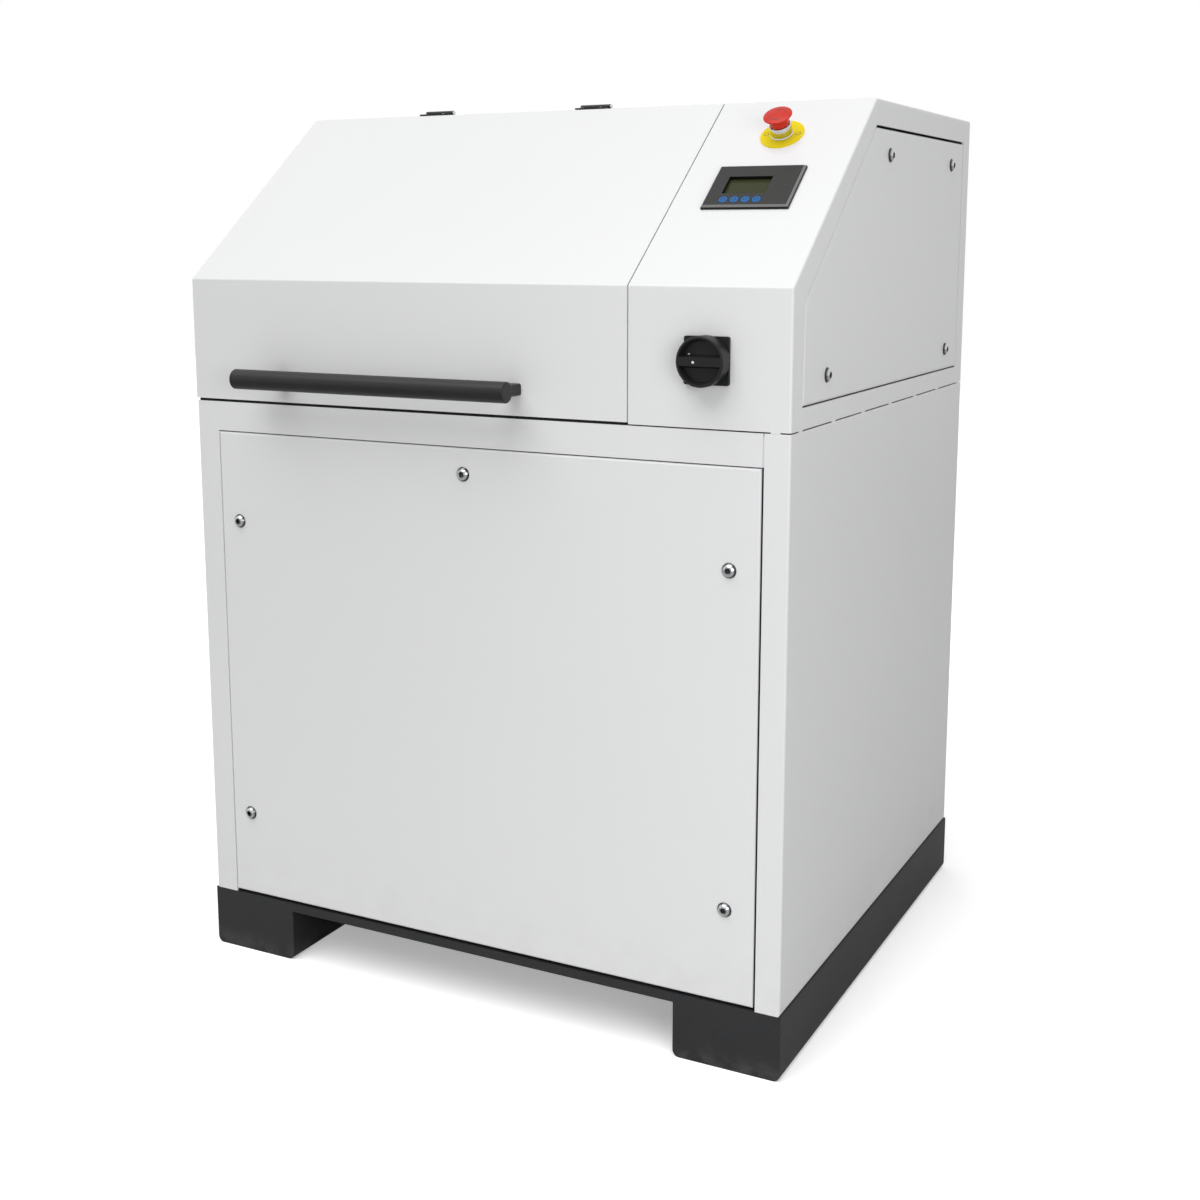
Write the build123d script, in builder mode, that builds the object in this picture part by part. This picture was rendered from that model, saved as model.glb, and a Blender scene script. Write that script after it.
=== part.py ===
from build123d import *
import math
import os

# A floor-standing vibratory disc mill, in millimetres. X runs across the front from left to right,
# Y from front to rear and Z upwards. The origin is on the floor, under the middle of the cabinet.

# Driving dimensions of the casing
width = 920.0
depth = 800.0
height = 1260.0
plinth_height = 90.0
deck_height = 842.0
front_height = 1018.0
slope_run = 305.0
console_width = 219.0
sheet = 2.0
edge_radius = 3.5

# Driving dimensions of the mill inside it
table_radius = 200.0
table_top = 850.0
throw = 3.0
mill_from_left = 350.0
mill_from_front = 345.0

# Places that follow from them
left = -width / 2
right = width / 2
front = -depth / 2
rear = depth / 2
console_left = right - console_width
slope_top = front + slope_run
slope_angle = math.atan2(height - front_height, slope_run)
mill_x = left + mill_from_left
mill_y = front + mill_from_front

# The lid turns about this line, which runs across the machine just above its top
hinge_y = front + 327.0
hinge_z = height + 4.2

# Gaps: between moving pieces that turn in each other, between pieces that pass each other, and
# between a bearing or hub and what it is seated on
running = 0.05
clearance = 0.3
seated = 0.02

slope = Plane(
    origin=(0, front, front_height),
    x_dir=(1, 0, 0),
    z_dir=(0, -math.sin(slope_angle), math.cos(slope_angle)),
)

os.makedirs("parts", exist_ok=True)


def facing_right(x):
    """The plane across the machine at x: its own x runs to the rear and its own y runs up."""
    return Plane(origin=(x, 0, 0), x_dir=(0, 1, 0), z_dir=(1, 0, 0))


def facing_front(y):
    """The plane along the machine at y, seen from the front: its own x runs right, its own y up."""
    return Plane(origin=(0, y, 0), x_dir=(1, 0, 0), z_dir=(0, -1, 0))


def over_mill(z):
    """The level plane at z, centred on the axis of the drive."""
    return Plane.XY.offset(z).move(Location((mill_x, mill_y, 0)))


def finish(piece, name):
    """Label a finished piece and write its file."""
    piece.part.label = name
    export_step(piece.part, f"parts/{name}.step")


def outline(points, inset=0.0):
    """The area inside a closed line through the points, drawn in by inset on every side."""
    with BuildSketch() as area:
        with BuildLine():
            Polyline(*points, close=True)
        make_face()
        if inset:
            offset(amount=-inset, kind=Kind.INTERSECTION)
    return area.sketch


def lies_in(edge, box, side):
    """Whether the edge lies in the side of the box that faces this way."""
    reach = abs(box.size.dot(side)) / 2
    return abs((edge.center() - box.center()).dot(side) - reach) < 0.01


def block(low, high):
    """A plain block from its low corner to its high corner."""
    size = [b - a for a, b in zip(low, high)]
    middle = tuple((a + b) / 2 for a, b in zip(low, high))
    with BuildPart() as solid:
        with Locations(middle):
            Box(*size)
    return solid.part


def tray(low, high, face, openings, radius=edge_radius):
    """A tray of folded sheet that fills the block from low to high.

    Its face looks along face, its edges there are rounded, and it is open towards openings.
    """
    with BuildPart() as folded:
        add(block(low, high))
        box = folded.part.bounding_box()
        rounded = [
            edge
            for edge in folded.edges()
            if lies_in(edge, box, face) and not any(lies_in(edge, box, side) for side in openings)
        ]
        fillet(rounded, radius)
        inner_low = [a + sheet for a in low]
        inner_high = [b - sheet for b in high]
        for side in openings:
            for axis, way in enumerate(tuple(side)):
                if way < 0:
                    inner_low[axis] = low[axis] - 1
                if way > 0:
                    inner_high[axis] = high[axis] + 1
        add(block(inner_low, inner_high), mode=Mode.SUBTRACT)
    return folded.part


def ring(outer, inner, low, high, x=mill_x, y=mill_y):
    """An upright ring about (x, y) from low to high."""
    with BuildPart() as solid:
        with BuildSketch(Plane.XY.offset(low)):
            with Locations((x, y)):
                Circle(outer)
                if inner:
                    Circle(inner, mode=Mode.SUBTRACT)
        extrude(amount=high - low)
    return solid.part


def section_at(x, y):
    """The upright plane through (x, y) in which the half section of a turned body is drawn."""
    return Plane(origin=(x, y, 0), x_dir=(1, 0, 0), z_dir=(0, -1, 0))


def turned(points, plane=section_at(mill_x, mill_y)):
    """A body turned from half its section, whose points give (radius, height), about the plane's own y."""
    with BuildPart() as solid:
        with BuildSketch(plane):
            add(outline(points))
        revolve(axis=Axis(plane.origin, plane.y_dir))
    return solid.part


# Plinth: two runners from front to rear under a flat plate, with a pocket for lifting forks between.
# Each runner is a hollow channel of thick plate whose bottom is slotted lengthwise.
fork_height = 77.0
plinth_overhang = 2.0
left_runner_width = 145.0
right_runner_width = 152.0
runner_wall = 6.0
runner_lip = 32.0
runner_radius = 10.0

plinth_left = left - plinth_overhang
plinth_right = right + plinth_overhang
left_runner_inside = plinth_left + left_runner_width
right_runner_inside = plinth_right - right_runner_width

with BuildPart() as base_frame:
    add(block((plinth_left, front, fork_height), (plinth_right, rear, plinth_height)))
    for near, far in ((plinth_left, left_runner_inside), (right_runner_inside, plinth_right)):
        with BuildSketch(facing_front(rear)) as section:
            with Locations(((near + far) / 2, fork_height / 2)):
                Rectangle(far - near, fork_height)
            fillet(section.vertices().group_by(Axis.Y)[0], runner_radius)
        extrude(amount=depth)
        hollow_low = (near + runner_wall, front + runner_wall, runner_wall)
        hollow_high = (far - runner_wall, rear - runner_wall, fork_height)
        add(block(hollow_low, hollow_high), mode=Mode.SUBTRACT)
        slot_low = (near + runner_lip, front + runner_lip, 0)
        slot_high = (far - runner_lip, rear - runner_lip, runner_wall)
        add(block(slot_low, slot_high), mode=Mode.SUBTRACT)
finish(base_frame, "base_frame")


# Side walls: folded sheet with a front and a rear post, and inside each post an angle that the
# front and rear panels are screwed to. The left front post is a little wider than the right one.
left_post = 38.0
right_post = 34.0
panel_depth = 20.0
panel_gap = 3.5
angle_reach = 52.0
angle_thickness = 5.0
screw_hole = 4.3
rail_bottom = 800.0
deck_thickness = 4.0
low_screw_z = 221.0
high_screw_z = 668.0
left_screw_x = left + 71.0
right_screw_x = left + 842.0

left_post_x = left + left_post
right_post_x = right - right_post
panel_left = left_post_x + 0.5
panel_right = right_post_x - panel_gap


def post_angles(post_x, way):
    """The two upright angles beside the posts at post_x, with their screw holes.

    way is 1 where the angles reach to the right.
    """
    inner = post_x - way * angle_thickness
    outer = post_x + way * angle_reach
    hole_x = left_screw_x if way > 0 else right_screw_x
    with BuildPart() as angles:
        for end, top in ((-1, rail_bottom - 2), (1, deck_height - 4)):
            behind_post = end * (rear - sheet)
            behind_panel = end * (rear - panel_depth)
            back = behind_panel - end * angle_thickness
            for x_ends, y_ends in (
                ((inner, post_x), (behind_post, back)),
                ((inner, outer), (behind_panel, back)),
            ):
                low = (min(x_ends), min(y_ends), plinth_height + sheet)
                high = (max(x_ends), max(y_ends), top)
                add(block(low, high))
        with Locations(*[(hole_x, 0, z) for z in (low_screw_z, high_screw_z)]):
            Cylinder(screw_hole, depth, rotation=(90, 0, 0), mode=Mode.SUBTRACT)
    return angles.part


wall_top_radius = 1.2

with BuildPart() as side_wall_left:
    add(
        tray(
            (left, front, plinth_height),
            (left_post_x, rear, deck_height),
            Vector(-1, 0, 0),
            [Vector(1, 0, 0), Vector(0, 0, 1)],
        )
    )
    add(post_angles(left_post_x, 1))
finish(side_wall_left, "side_wall_left")

with BuildPart() as side_wall_right:
    add(
        tray(
            (right_post_x, front, plinth_height),
            (right, rear, deck_height),
            Vector(1, 0, 0),
            [Vector(-1, 0, 0), Vector(0, 0, 1)],
        )
    )
    add(post_angles(right_post_x, -1))
    top_edges = side_wall_right.edges().filter_by(Axis.Y).group_by(Axis.Z)[-1]
    fillet([edge for edge in top_edges if edge.center().X > right - 0.1], wall_top_radius)
finish(side_wall_right, "side_wall_right")


# Top rail of the front, an angle with a tab that hangs down behind the middle of the panel and a
# strip that closes the seam beside the right post from behind.
rail_seam = 2.0
seam_strip = 14.0
tab_half_width = 25.0
tab_drop = 60.0
middle_screw = (left + 455.0, 763.0)

rail_back = front + panel_depth + 3
with BuildPart() as front_rail:
    add(block((left_post_x, front, rail_bottom), (right_post_x - rail_seam, front + sheet, deck_height)))
    add(block((left_post_x, front, rail_bottom), (right_post_x - rail_seam, rail_back, rail_bottom + sheet)))
    tab_low = (middle_screw[0] - tab_half_width, front + panel_depth, rail_bottom - tab_drop)
    tab_high = (middle_screw[0] + tab_half_width, rail_back, rail_bottom)
    add(block(tab_low, tab_high))
    strip_low = (right_post_x - seam_strip, front + sheet, rail_bottom)
    strip_high = (right_post_x + seam_strip / 2, front + 2 * sheet, deck_height - deck_thickness)
    add(block(strip_low, strip_high))
    with Locations((middle_screw[0], rail_back, middle_screw[1])):
        Cylinder(screw_hole, panel_depth, rotation=(90, 0, 0), mode=Mode.SUBTRACT)
finish(front_rail, "front_rail")


# Front panel: one large folded tray, held by five screws.
front_screws = [
    (left_screw_x, high_screw_z),
    middle_screw,
    (right_screw_x, high_screw_z),
    (left_screw_x, low_screw_z),
    (right_screw_x, low_screw_z),
]
with BuildPart() as front_panel:
    add(
        tray(
            (panel_left, front, plinth_height + 4),
            (panel_right, front + panel_depth, rail_bottom - 1.5),
            Vector(0, -1, 0),
            [Vector(0, 1, 0)],
            radius=3,
        )
    )
    with Locations(*[(x, front, z) for x, z in front_screws]):
        Cylinder(screw_hole, 4 * sheet, rotation=(90, 0, 0), mode=Mode.SUBTRACT)
finish(front_panel, "front_panel")


# Rear panel: the same sort of tray, with two fields of cooling slots, a hole for the cable gland
# and four screws.
rear_screws = [(x, z) for x in (left_screw_x, right_screw_x) for z in (low_screw_z, high_screw_z)]
slot_length = 110.0
slot_height = 5.0
slot_rows = 9
slot_pitch = 15.0
gland_x = left + 150.0
gland_z = 165.0
gland_thread = 12.5

with BuildPart() as rear_panel:
    add(
        tray(
            (panel_left, rear - panel_depth, plinth_height + 4),
            (panel_right, rear, deck_height - deck_thickness - 1.5),
            Vector(0, 1, 0),
            [Vector(0, -1, 0)],
            radius=3,
        )
    )
    with Locations(*[(x, rear, z) for x, z in rear_screws]):
        Cylinder(screw_hole, 4 * sheet, rotation=(90, 0, 0), mode=Mode.SUBTRACT)
    with BuildSketch(facing_front(rear)):
        for field_z in (300.0, 700.0):
            with Locations((0, field_z)):
                with GridLocations(slot_length + 40, slot_pitch, 3, slot_rows):
                    SlotOverall(slot_length, slot_height)
        with Locations((gland_x, gland_z)):
            Circle(gland_thread + clearance)
    extrude(amount=2 * sheet, both=True, mode=Mode.SUBTRACT)
finish(rear_panel, "rear_panel")


# Deck: the plate that closes the lower cabinet, with a round hole for the vibrating table and a
# small one for the wiring of the console. A strip of it shows between the posts at the rear.
deck_hole = table_radius + 15.0
wiring_hole = (left + 810.0, front + 600.0)

with BuildPart() as deck_plate:
    add(
        block(
            (left + sheet, front + sheet, deck_height - deck_thickness),
            (right - sheet, rear - sheet, deck_height),
        )
    )
    strip_low = (left_post_x, rear - sheet, deck_height - deck_thickness)
    add(block(strip_low, (right_post_x, rear, deck_height)))
    with Locations((mill_x, mill_y, deck_height)):
        Cylinder(deck_hole, 4 * deck_thickness, mode=Mode.SUBTRACT)
    with Locations((*wiring_hole, deck_height)):
        Cylinder(30, 4 * deck_thickness, mode=Mode.SUBTRACT)
finish(deck_plate, "deck_plate")


# Console: a tall folded housing at the right, with a large window in its side. It stands just
# above the cabinet on short stitch welds, which show as breaks in the dark seam.
seam = 1.8
console_face = console_left + 0.5
window_gap = 2.2
window_lip = 50.0
window_points = [(-360, 873), (-357, 1000), (-92, 1223), (360, 1223), (360, 872)]
side_screws = [(-29, 1188), (292, 1187), (-273, 905), (290, 903)]
weld_length = 12.0
weld_count = 7
weld_pitch = 124.0
display_x = left + 807.0
display_s = 194.5
estop_x = left + 810.0
estop_s = 311.0
switch_x = left + 810.0
switch_z = 928.0
estop_thread = 11.0
switch_shaft = 4.0
panel_cut_width = 108.0
panel_cut_length = 75.0


def case_points(base, back):
    """The side view of the upper casing, from its base up to the top, ending at back."""
    return [(front, base), (front, front_height), (slope_top, height), (back, height), (back, base)]


def upper_case(points, inner_points, near, far, sharp_sides):
    """A folded case with this side view, from x = near to x = far, hollow inside inner_points.

    Its edges are rounded except on the sharp sides.
    """
    with BuildPart() as case:
        with BuildSketch(facing_right(near)):
            add(outline(points))
        extrude(amount=far - near)
        box = case.part.bounding_box()
        rounded = [
            edge for edge in case.edges() if not any(lies_in(edge, box, side) for side in sharp_sides)
        ]
        fillet(rounded, edge_radius)
        with BuildSketch(facing_right(near + sheet)):
            add(outline(inner_points, sheet))
        extrude(amount=far - near - 2 * sheet, mode=Mode.SUBTRACT)
    return case.part


with BuildPart() as console_housing:
    add(
        upper_case(
            case_points(deck_height + seam, rear),
            case_points(deck_height - 50, rear),
            console_face,
            right,
            [Vector(0, 0, -1), Vector(-1, 0, 0)],
        )
    )
    # the window with its rim, which is set back so that the side panel lies flush in it
    with BuildSketch(facing_right(right - panel_depth)):
        add(outline(window_points, -window_gap - sheet))
    extrude(amount=panel_depth - sheet / 2)
    with BuildSketch(facing_right(right - panel_depth)):
        add(outline(window_points, -window_gap))
    extrude(amount=panel_depth + sheet, mode=Mode.SUBTRACT)
    with BuildSketch(facing_right(right - panel_depth - sheet)):
        add(outline(window_points, -window_gap - sheet))
        add(outline(window_points, window_lip), mode=Mode.SUBTRACT)
    extrude(amount=sheet)
    with BuildSketch(facing_right(right - panel_depth - sheet)):
        with Locations(*side_screws):
            Circle(screw_hole)
    extrude(amount=sheet, mode=Mode.SUBTRACT)
    # openings for the display, the emergency stop and the main switch
    with BuildSketch(slope):
        with Locations((display_x, display_s)):
            Rectangle(panel_cut_width, panel_cut_length)
        with Locations((estop_x, estop_s)):
            Circle(estop_thread + clearance)
    extrude(amount=2 * sheet, both=True, mode=Mode.SUBTRACT)
    with BuildSketch(facing_front(front)):
        with Locations((switch_x, switch_z)):
            Circle(switch_shaft + 2)
    extrude(amount=2 * sheet, both=True, mode=Mode.SUBTRACT)
    # stitch welds along the right side and one on the front
    first_weld = front + 29.0
    for number in range(weld_count):
        y = first_weld + number * weld_pitch
        low = (right - sheet, y, deck_height)
        add(block(low, (right, y + weld_length, deck_height + seam)))
    low = (left + 894, front, deck_height)
    add(block(low, (left + 894 + weld_length, front + sheet, deck_height + seam)))
finish(console_housing, "console_housing")


# Side panel of the console: a flush tray with four screws, which hangs a little low in its window.
side_panel_radius = 4.0
side_panel_drop = 0.8
side_panel_points = [(y, z - side_panel_drop) for y, z in window_points]

with BuildPart() as console_side_panel:
    with BuildSketch(facing_right(right - panel_depth)):
        add(outline(side_panel_points))
    extrude(amount=panel_depth)
    fillet(console_side_panel.faces().sort_by(Axis.X)[-1].edges(), side_panel_radius)
    with BuildSketch(facing_right(right - panel_depth)):
        add(outline(side_panel_points, sheet))
    extrude(amount=panel_depth - sheet, mode=Mode.SUBTRACT)
    with BuildSketch(facing_right(right - panel_depth)):
        with Locations(*side_screws):
            Circle(screw_hole)
    extrude(amount=panel_depth, mode=Mode.SUBTRACT)
finish(console_side_panel, "console_side_panel")


# Control electronics: a mounting plate on the console's inner wall with a drive for the motor,
# its row of cooling fins and a terminal block.
fin_count = 12
fin_pitch = 14.0
fin_thickness = 4.0
fin_reach = 25.0
drive_depth = 90.0
mounting_plate = 3.0
terminal_depth = 40.0
wall_inside = console_face + sheet
plate_face = wall_inside + mounting_plate
drive_face = plate_face + drive_depth

with BuildPart() as control_electronics:
    add(block((wall_inside, -60, 880), (plate_face, 300, 1200)))
    add(block((plate_face, 20, 930), (drive_face, 200, 1180)))
    for number in range(fin_count):
        y = 24 + number * fin_pitch
        add(block((drive_face, y, 940), (drive_face + fin_reach, y + fin_thickness, 1170)))
    add(block((plate_face, 220, 940), (plate_face + terminal_depth, 270, 1140)))
finish(control_electronics, "control_electronics")


# Rear hood: closes the milling chamber at the left, on top and at the rear. The console's wall
# closes it at the right. A lip round its open front stiffens it.
lid_back = hinge_y - 9.0
hood_front = hinge_y - 3.0
lip = 9.0
top_lip = 30.0

with BuildPart() as rear_hood:
    add(
        tray(
            (left, hood_front, deck_height),
            (console_face, rear, height),
            Vector(0, 1, 0),
            [Vector(0, -1, 0), Vector(0, 0, -1), Vector(1, 0, 0)],
        )
    )
    lip_back = hood_front + sheet
    add(block((left + sheet, hood_front, deck_height), (left + lip, lip_back, height - sheet)))
    add(block((left + sheet, hood_front, height - top_lip), (console_face, lip_back, height - sheet)))
finish(rear_hood, "rear_hood")


# Lid: covers the front of the milling chamber. It has a full cheek at the left and a deep flange at
# the right, and its lower edge is folded inwards to meet the seal.
lid_bottom = deck_height + 4.0
lid_left = left - 2.0
lid_right = console_left - 1.5
lid_flange = 70.0
lid_lip = 18.0

with BuildPart() as lid_hood:
    add(
        upper_case(
            case_points(lid_bottom, lid_back),
            case_points(lid_bottom - 50, lid_back + 50),
            lid_left,
            lid_right,
            [Vector(0, 0, -1), Vector(0, 1, 0), Vector(1, 0, 0)],
        )
    )
    with BuildSketch(facing_right(lid_right - 2 * sheet)):
        add(outline(case_points(lid_bottom - 200, lid_back + 200), lid_flange))
    extrude(amount=4 * sheet, mode=Mode.SUBTRACT)
    lip_top = lid_bottom + sheet
    add(block((lid_left + sheet, front + sheet, lid_bottom), (lid_right - sheet, front + lid_lip, lip_top)))
    add(block((lid_left + sheet, front + sheet, lid_bottom), (lid_left + lid_lip, lid_back, lip_top)))
finish(lid_hood, "lid_hood")


# Sound lining of thick foam, bonded under the lid's front and slope and inside the hood's top and rear.
foam = 20.0
foam_gap = 35.0


def foam_path(points, near, far):
    """A foam layer along a line in the side view, from x = near to x = far."""
    with BuildPart() as layer:
        with BuildSketch(facing_right(near)):
            with BuildLine():
                Polyline(*points)
            trace(line_width=foam)
        extrude(amount=far - near)
    return layer.part


foam_inset = sheet + foam / 2
foam_front = front + foam_inset
corner_rise = foam_inset * math.tan((math.pi / 2 - slope_angle) / 2)
foam_end = slope_top - 20.0
foam_corner = front_height - corner_rise
foam_top = foam_corner + (foam_end - foam_front) * math.tan(slope_angle)

with BuildPart() as lid_lining:
    path = [(foam_front, lid_bottom + 12), (foam_front, foam_corner), (foam_end, foam_top)]
    add(foam_path(path, left + foam_gap, lid_right - foam_gap))
finish(lid_lining, "lid_lining")

with BuildPart() as hood_lining:
    roof = height - foam_inset
    back = rear - foam_inset
    path = [(hood_front + 10, roof), (back, roof), (back, deck_height + foam)]
    add(foam_path(path, left + 5, console_face - 5))
finish(hood_lining, "hood_lining")


# Lid seal: a rubber strip on the deck, under the lid's front and left edges.
seal_width = 12.0
seal_top = lid_bottom - clearance

with BuildPart() as lid_seal:
    near = (left + 3, front + 3, deck_height)
    add(block(near, (console_face - 5, front + 3 + seal_width, seal_top)))
    add(block(near, (left + 3 + seal_width, lid_back, seal_top)))
finish(lid_seal, "lid_seal")


# Panel screws: domed steel heads with a hexagon socket, one shape for all the panels.
head_radius = 10.0
head_height = 6.0
socket_radius = 4.0
shank_radius = 4.0
shank_length = 26.0


def domed_screw():
    """A screw along +Z with the underside of its head at the origin."""
    dome_radius = (head_radius**2 + head_height**2) / (2 * head_height)
    with BuildPart() as screw:
        with BuildSketch(Plane.XZ):
            with BuildLine():
                Line((0, head_height), (0, -shank_length))
                Line((0, -shank_length), (shank_radius, -shank_length))
                Line((shank_radius, -shank_length), (shank_radius, 0))
                Line((shank_radius, 0), (head_radius, 0))
                RadiusArc((head_radius, 0), (0, head_height), -dome_radius)
            make_face()
        revolve(axis=Axis.Z)
        with BuildSketch(Plane.XY.offset(head_height)):
            RegularPolygon(socket_radius, 6)
        extrude(amount=-4, mode=Mode.SUBTRACT)
    return screw.part


with BuildPart() as panel_screws:
    screw = domed_screw()
    rear_facing = Plane(origin=(0, rear, 0), x_dir=(-1, 0, 0), z_dir=(0, 1, 0))
    places = [facing_front(front) * Pos(x, z, 0) for x, z in front_screws]
    places += [rear_facing * Pos(-x, z, 0) for x, z in rear_screws]
    places += [facing_right(right) * Pos(y, z, 0) for y, z in side_screws]
    for place in places:
        add(place * screw)
finish(panel_screws, "panel_screws")


# Lid handle: a round bar in front of the lid on two short brackets.
handle_radius = 14.0
handle_end = 2.0
handle_y = front - 46.0
handle_z = 881.0
handle_left = left + 110.5
handle_right = left + 552.0
bracket_places = [handle_left + 49.0, handle_right - 16.5]
bracket_width = 21.0
bracket_height = 16.0

with BuildPart() as lid_handle_bar:
    with BuildSketch(facing_right(handle_left)):
        with Locations((handle_y, handle_z)):
            Circle(handle_radius)
    extrude(amount=handle_right - handle_left)
    fillet(lid_handle_bar.edges().filter_by(GeomType.CIRCLE), handle_end)
finish(lid_handle_bar, "lid_handle_bar")

with BuildPart() as lid_handle_brackets:
    for x in bracket_places:
        low = (x - bracket_width / 2, handle_y, handle_z - bracket_height / 2)
        add(block(low, (x + bracket_width / 2, front, handle_z + bracket_height / 2)))
    fillet(lid_handle_brackets.edges().filter_by(Axis.Y), 3)
    with BuildSketch(facing_right(handle_left)):
        with Locations((handle_y, handle_z)):
            Circle(handle_radius)
    extrude(amount=handle_right - handle_left, mode=Mode.SUBTRACT)
finish(lid_handle_brackets, "lid_handle_brackets")


# Lid hinges: two, each with a rolled leaf screwed upright to the hood's lip, a rolled leaf on the
# top of the lid, and a pin with a head at its right end.
hinge_places = [left + 219.0, left + 488.5]
hinge_width = 48.0
knuckle_radius = 3.8
hinge_pin_radius = 2.0
pin_head_radius = 3.2
leaf = 2.5
leaf_run = 12.0
leaf_drop = 26.0
middle_knuckle = hinge_width / 3


def rolled_leaf(x, length, leaf_points):
    """A hinge leaf with its rolled eye, centred on x."""
    with BuildPart() as rolled:
        with BuildSketch(facing_right(x - length / 2)):
            with Locations((hinge_y, hinge_z)):
                Circle(knuckle_radius)
            add(outline(leaf_points))
            with Locations((hinge_y, hinge_z)):
                Circle(hinge_pin_radius + running, mode=Mode.SUBTRACT)
        extrude(amount=length)
    return rolled.part


with BuildPart() as hinge_leaves_fixed:
    side_length = (hinge_width - middle_knuckle) / 2
    hood_leaf = [
        (hood_front - leaf, height - leaf_drop),
        (hood_front, height - leaf_drop),
        (hood_front, hinge_z),
        (hood_front - leaf, hinge_z),
    ]
    for x in hinge_places:
        for way in (-1, 1):
            middle = x + way * (middle_knuckle + side_length) / 2
            add(rolled_leaf(middle, side_length, hood_leaf))
        low = (x - hinge_width / 2, hood_front - leaf, height - leaf_drop)
        add(block(low, (x + hinge_width / 2, hood_front, height - sheet)))
finish(hinge_leaves_fixed, "hinge_leaves_fixed")

with BuildPart() as hinge_leaves_lid:
    lid_leaf = [
        (lid_back - leaf_run, height),
        (lid_back, height),
        (lid_back + 1, height + 0.5),
        (hinge_y - hinge_pin_radius - 0.5, height + 0.5),
        (hinge_y - hinge_pin_radius - 0.5, height + 0.5 + leaf),
        (lid_back - leaf_run, height + leaf),
    ]
    for x in hinge_places:
        add(rolled_leaf(x, middle_knuckle - 2 * clearance, lid_leaf))
        low = (x - hinge_width / 2, lid_back - leaf_run, height)
        add(block(low, (x + hinge_width / 2, lid_back, height + leaf)))
finish(hinge_leaves_lid, "hinge_leaves_lid")

with BuildPart() as hinge_pins:
    for x in hinge_places:
        with BuildSketch(facing_right(x - hinge_width / 2 - 0.5)):
            with Locations((hinge_y, hinge_z)):
                Circle(hinge_pin_radius)
        extrude(amount=hinge_width + 1)
        with BuildSketch(facing_right(x + hinge_width / 2 + 0.1)):
            with Locations((hinge_y, hinge_z)):
                Circle(pin_head_radius)
        extrude(amount=1.2)
finish(hinge_pins, "hinge_pins")


# Gas springs: one at each side of the lid. Both their studs lie on one circle about the hinge line,
# so a spring always turns by half the angle of the lid.
stud_circle = 280.0
lid_stud_angle = math.radians(45.0)
fixed_stud_angle = math.radians(120.0)
spring_inset = 20.0
tube_radius = 9.0
bore_radius = 7.0
rod_radius = 4.0
piston_radius = bore_radius - clearance
tube_length = 300.0
rod_length = 290.0
stud_radius = 5.0
eye_radius = 8.5
eye_width = 10.0

lid_stud_y = hinge_y - stud_circle * math.cos(lid_stud_angle)
lid_stud_z = hinge_z - stud_circle * math.sin(lid_stud_angle)
fixed_stud_y = hinge_y - stud_circle * math.cos(fixed_stud_angle)
fixed_stud_z = hinge_z - stud_circle * math.sin(fixed_stud_angle)
closed_length = math.hypot(fixed_stud_y - lid_stud_y, fixed_stud_z - lid_stud_z)
spring_places = [left + spring_inset, console_face - spring_inset]
along_spring = Vector(0, lid_stud_y - fixed_stud_y, lid_stud_z - fixed_stud_z).normalized()


def spring_plane(x):
    """Level across the spring's axis at its fixed stud, looking along the spring to the lid."""
    return Plane(origin=(x, fixed_stud_y, fixed_stud_z), x_dir=(1, 0, 0), z_dir=along_spring)


def eye(x, y, z):
    """The round eye at one end of a gas spring, with a running fit on its stud."""
    with BuildPart() as end:
        with BuildSketch(facing_right(x - eye_width / 2)):
            with Locations((y, z)):
                Circle(eye_radius)
                Circle(stud_radius + running, mode=Mode.SUBTRACT)
        extrude(amount=eye_width)
    return end.part


with BuildPart() as gas_spring_cylinders:
    for x in spring_places:
        tube_start = eye_radius - 1
        with BuildSketch(spring_plane(x).offset(tube_start)):
            Circle(rod_radius + 2)
        extrude(amount=6)
        with BuildSketch(spring_plane(x).offset(tube_start + 5)):
            Circle(tube_radius)
        extrude(amount=tube_length - tube_start - 5)
        with BuildSketch(spring_plane(x).offset(tube_start + 12)):
            Circle(bore_radius)
        extrude(amount=tube_length - tube_start - 22, mode=Mode.SUBTRACT)
        with BuildSketch(spring_plane(x).offset(tube_length - 20)):
            Circle(rod_radius + clearance)
        extrude(amount=30, mode=Mode.SUBTRACT)
        add(eye(x, fixed_stud_y, fixed_stud_z))
finish(gas_spring_cylinders, "gas_spring_cylinders")

with BuildPart() as gas_spring_rods:
    for x in spring_places:
        tip = closed_length - rod_length
        with BuildSketch(spring_plane(x).offset(tip)):
            Circle(rod_radius)
        extrude(amount=rod_length - eye_radius + 1)
        with BuildSketch(spring_plane(x).offset(tip)):
            Circle(piston_radius)
        extrude(amount=15)
        add(eye(x, lid_stud_y, lid_stud_z))
finish(gas_spring_rods, "gas_spring_rods")


def stud(wall_x, spring_x, y, z):
    """A stud that stands out of a wall and passes through a spring's eye, with a foot and a head."""
    way = math.copysign(1, spring_x - wall_x)
    tip = spring_x + way * (eye_width / 2 + clearance)
    with BuildPart() as turned_stud:
        for radius, start, end in (
            (stud_radius + 4, wall_x, wall_x + way * 3),
            (stud_radius, wall_x, tip + way * 2),
            (stud_radius + 2, tip, tip + way * 2),
        ):
            with BuildSketch(facing_right(min(start, end))):
                with Locations((y, z)):
                    Circle(radius)
            extrude(amount=abs(end - start))
    return turned_stud.part


with BuildPart() as gas_studs_fixed:
    add(stud(left + sheet, spring_places[0], fixed_stud_y, fixed_stud_z))
    add(stud(console_face, spring_places[1], fixed_stud_y, fixed_stud_z))
finish(gas_studs_fixed, "gas_studs_fixed")

with BuildPart() as gas_studs_lid:
    add(stud(lid_left + sheet, spring_places[0], lid_stud_y, lid_stud_z))
    add(stud(lid_right - sheet, spring_places[1], lid_stud_y, lid_stud_z))
finish(gas_studs_lid, "gas_studs_lid")


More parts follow.
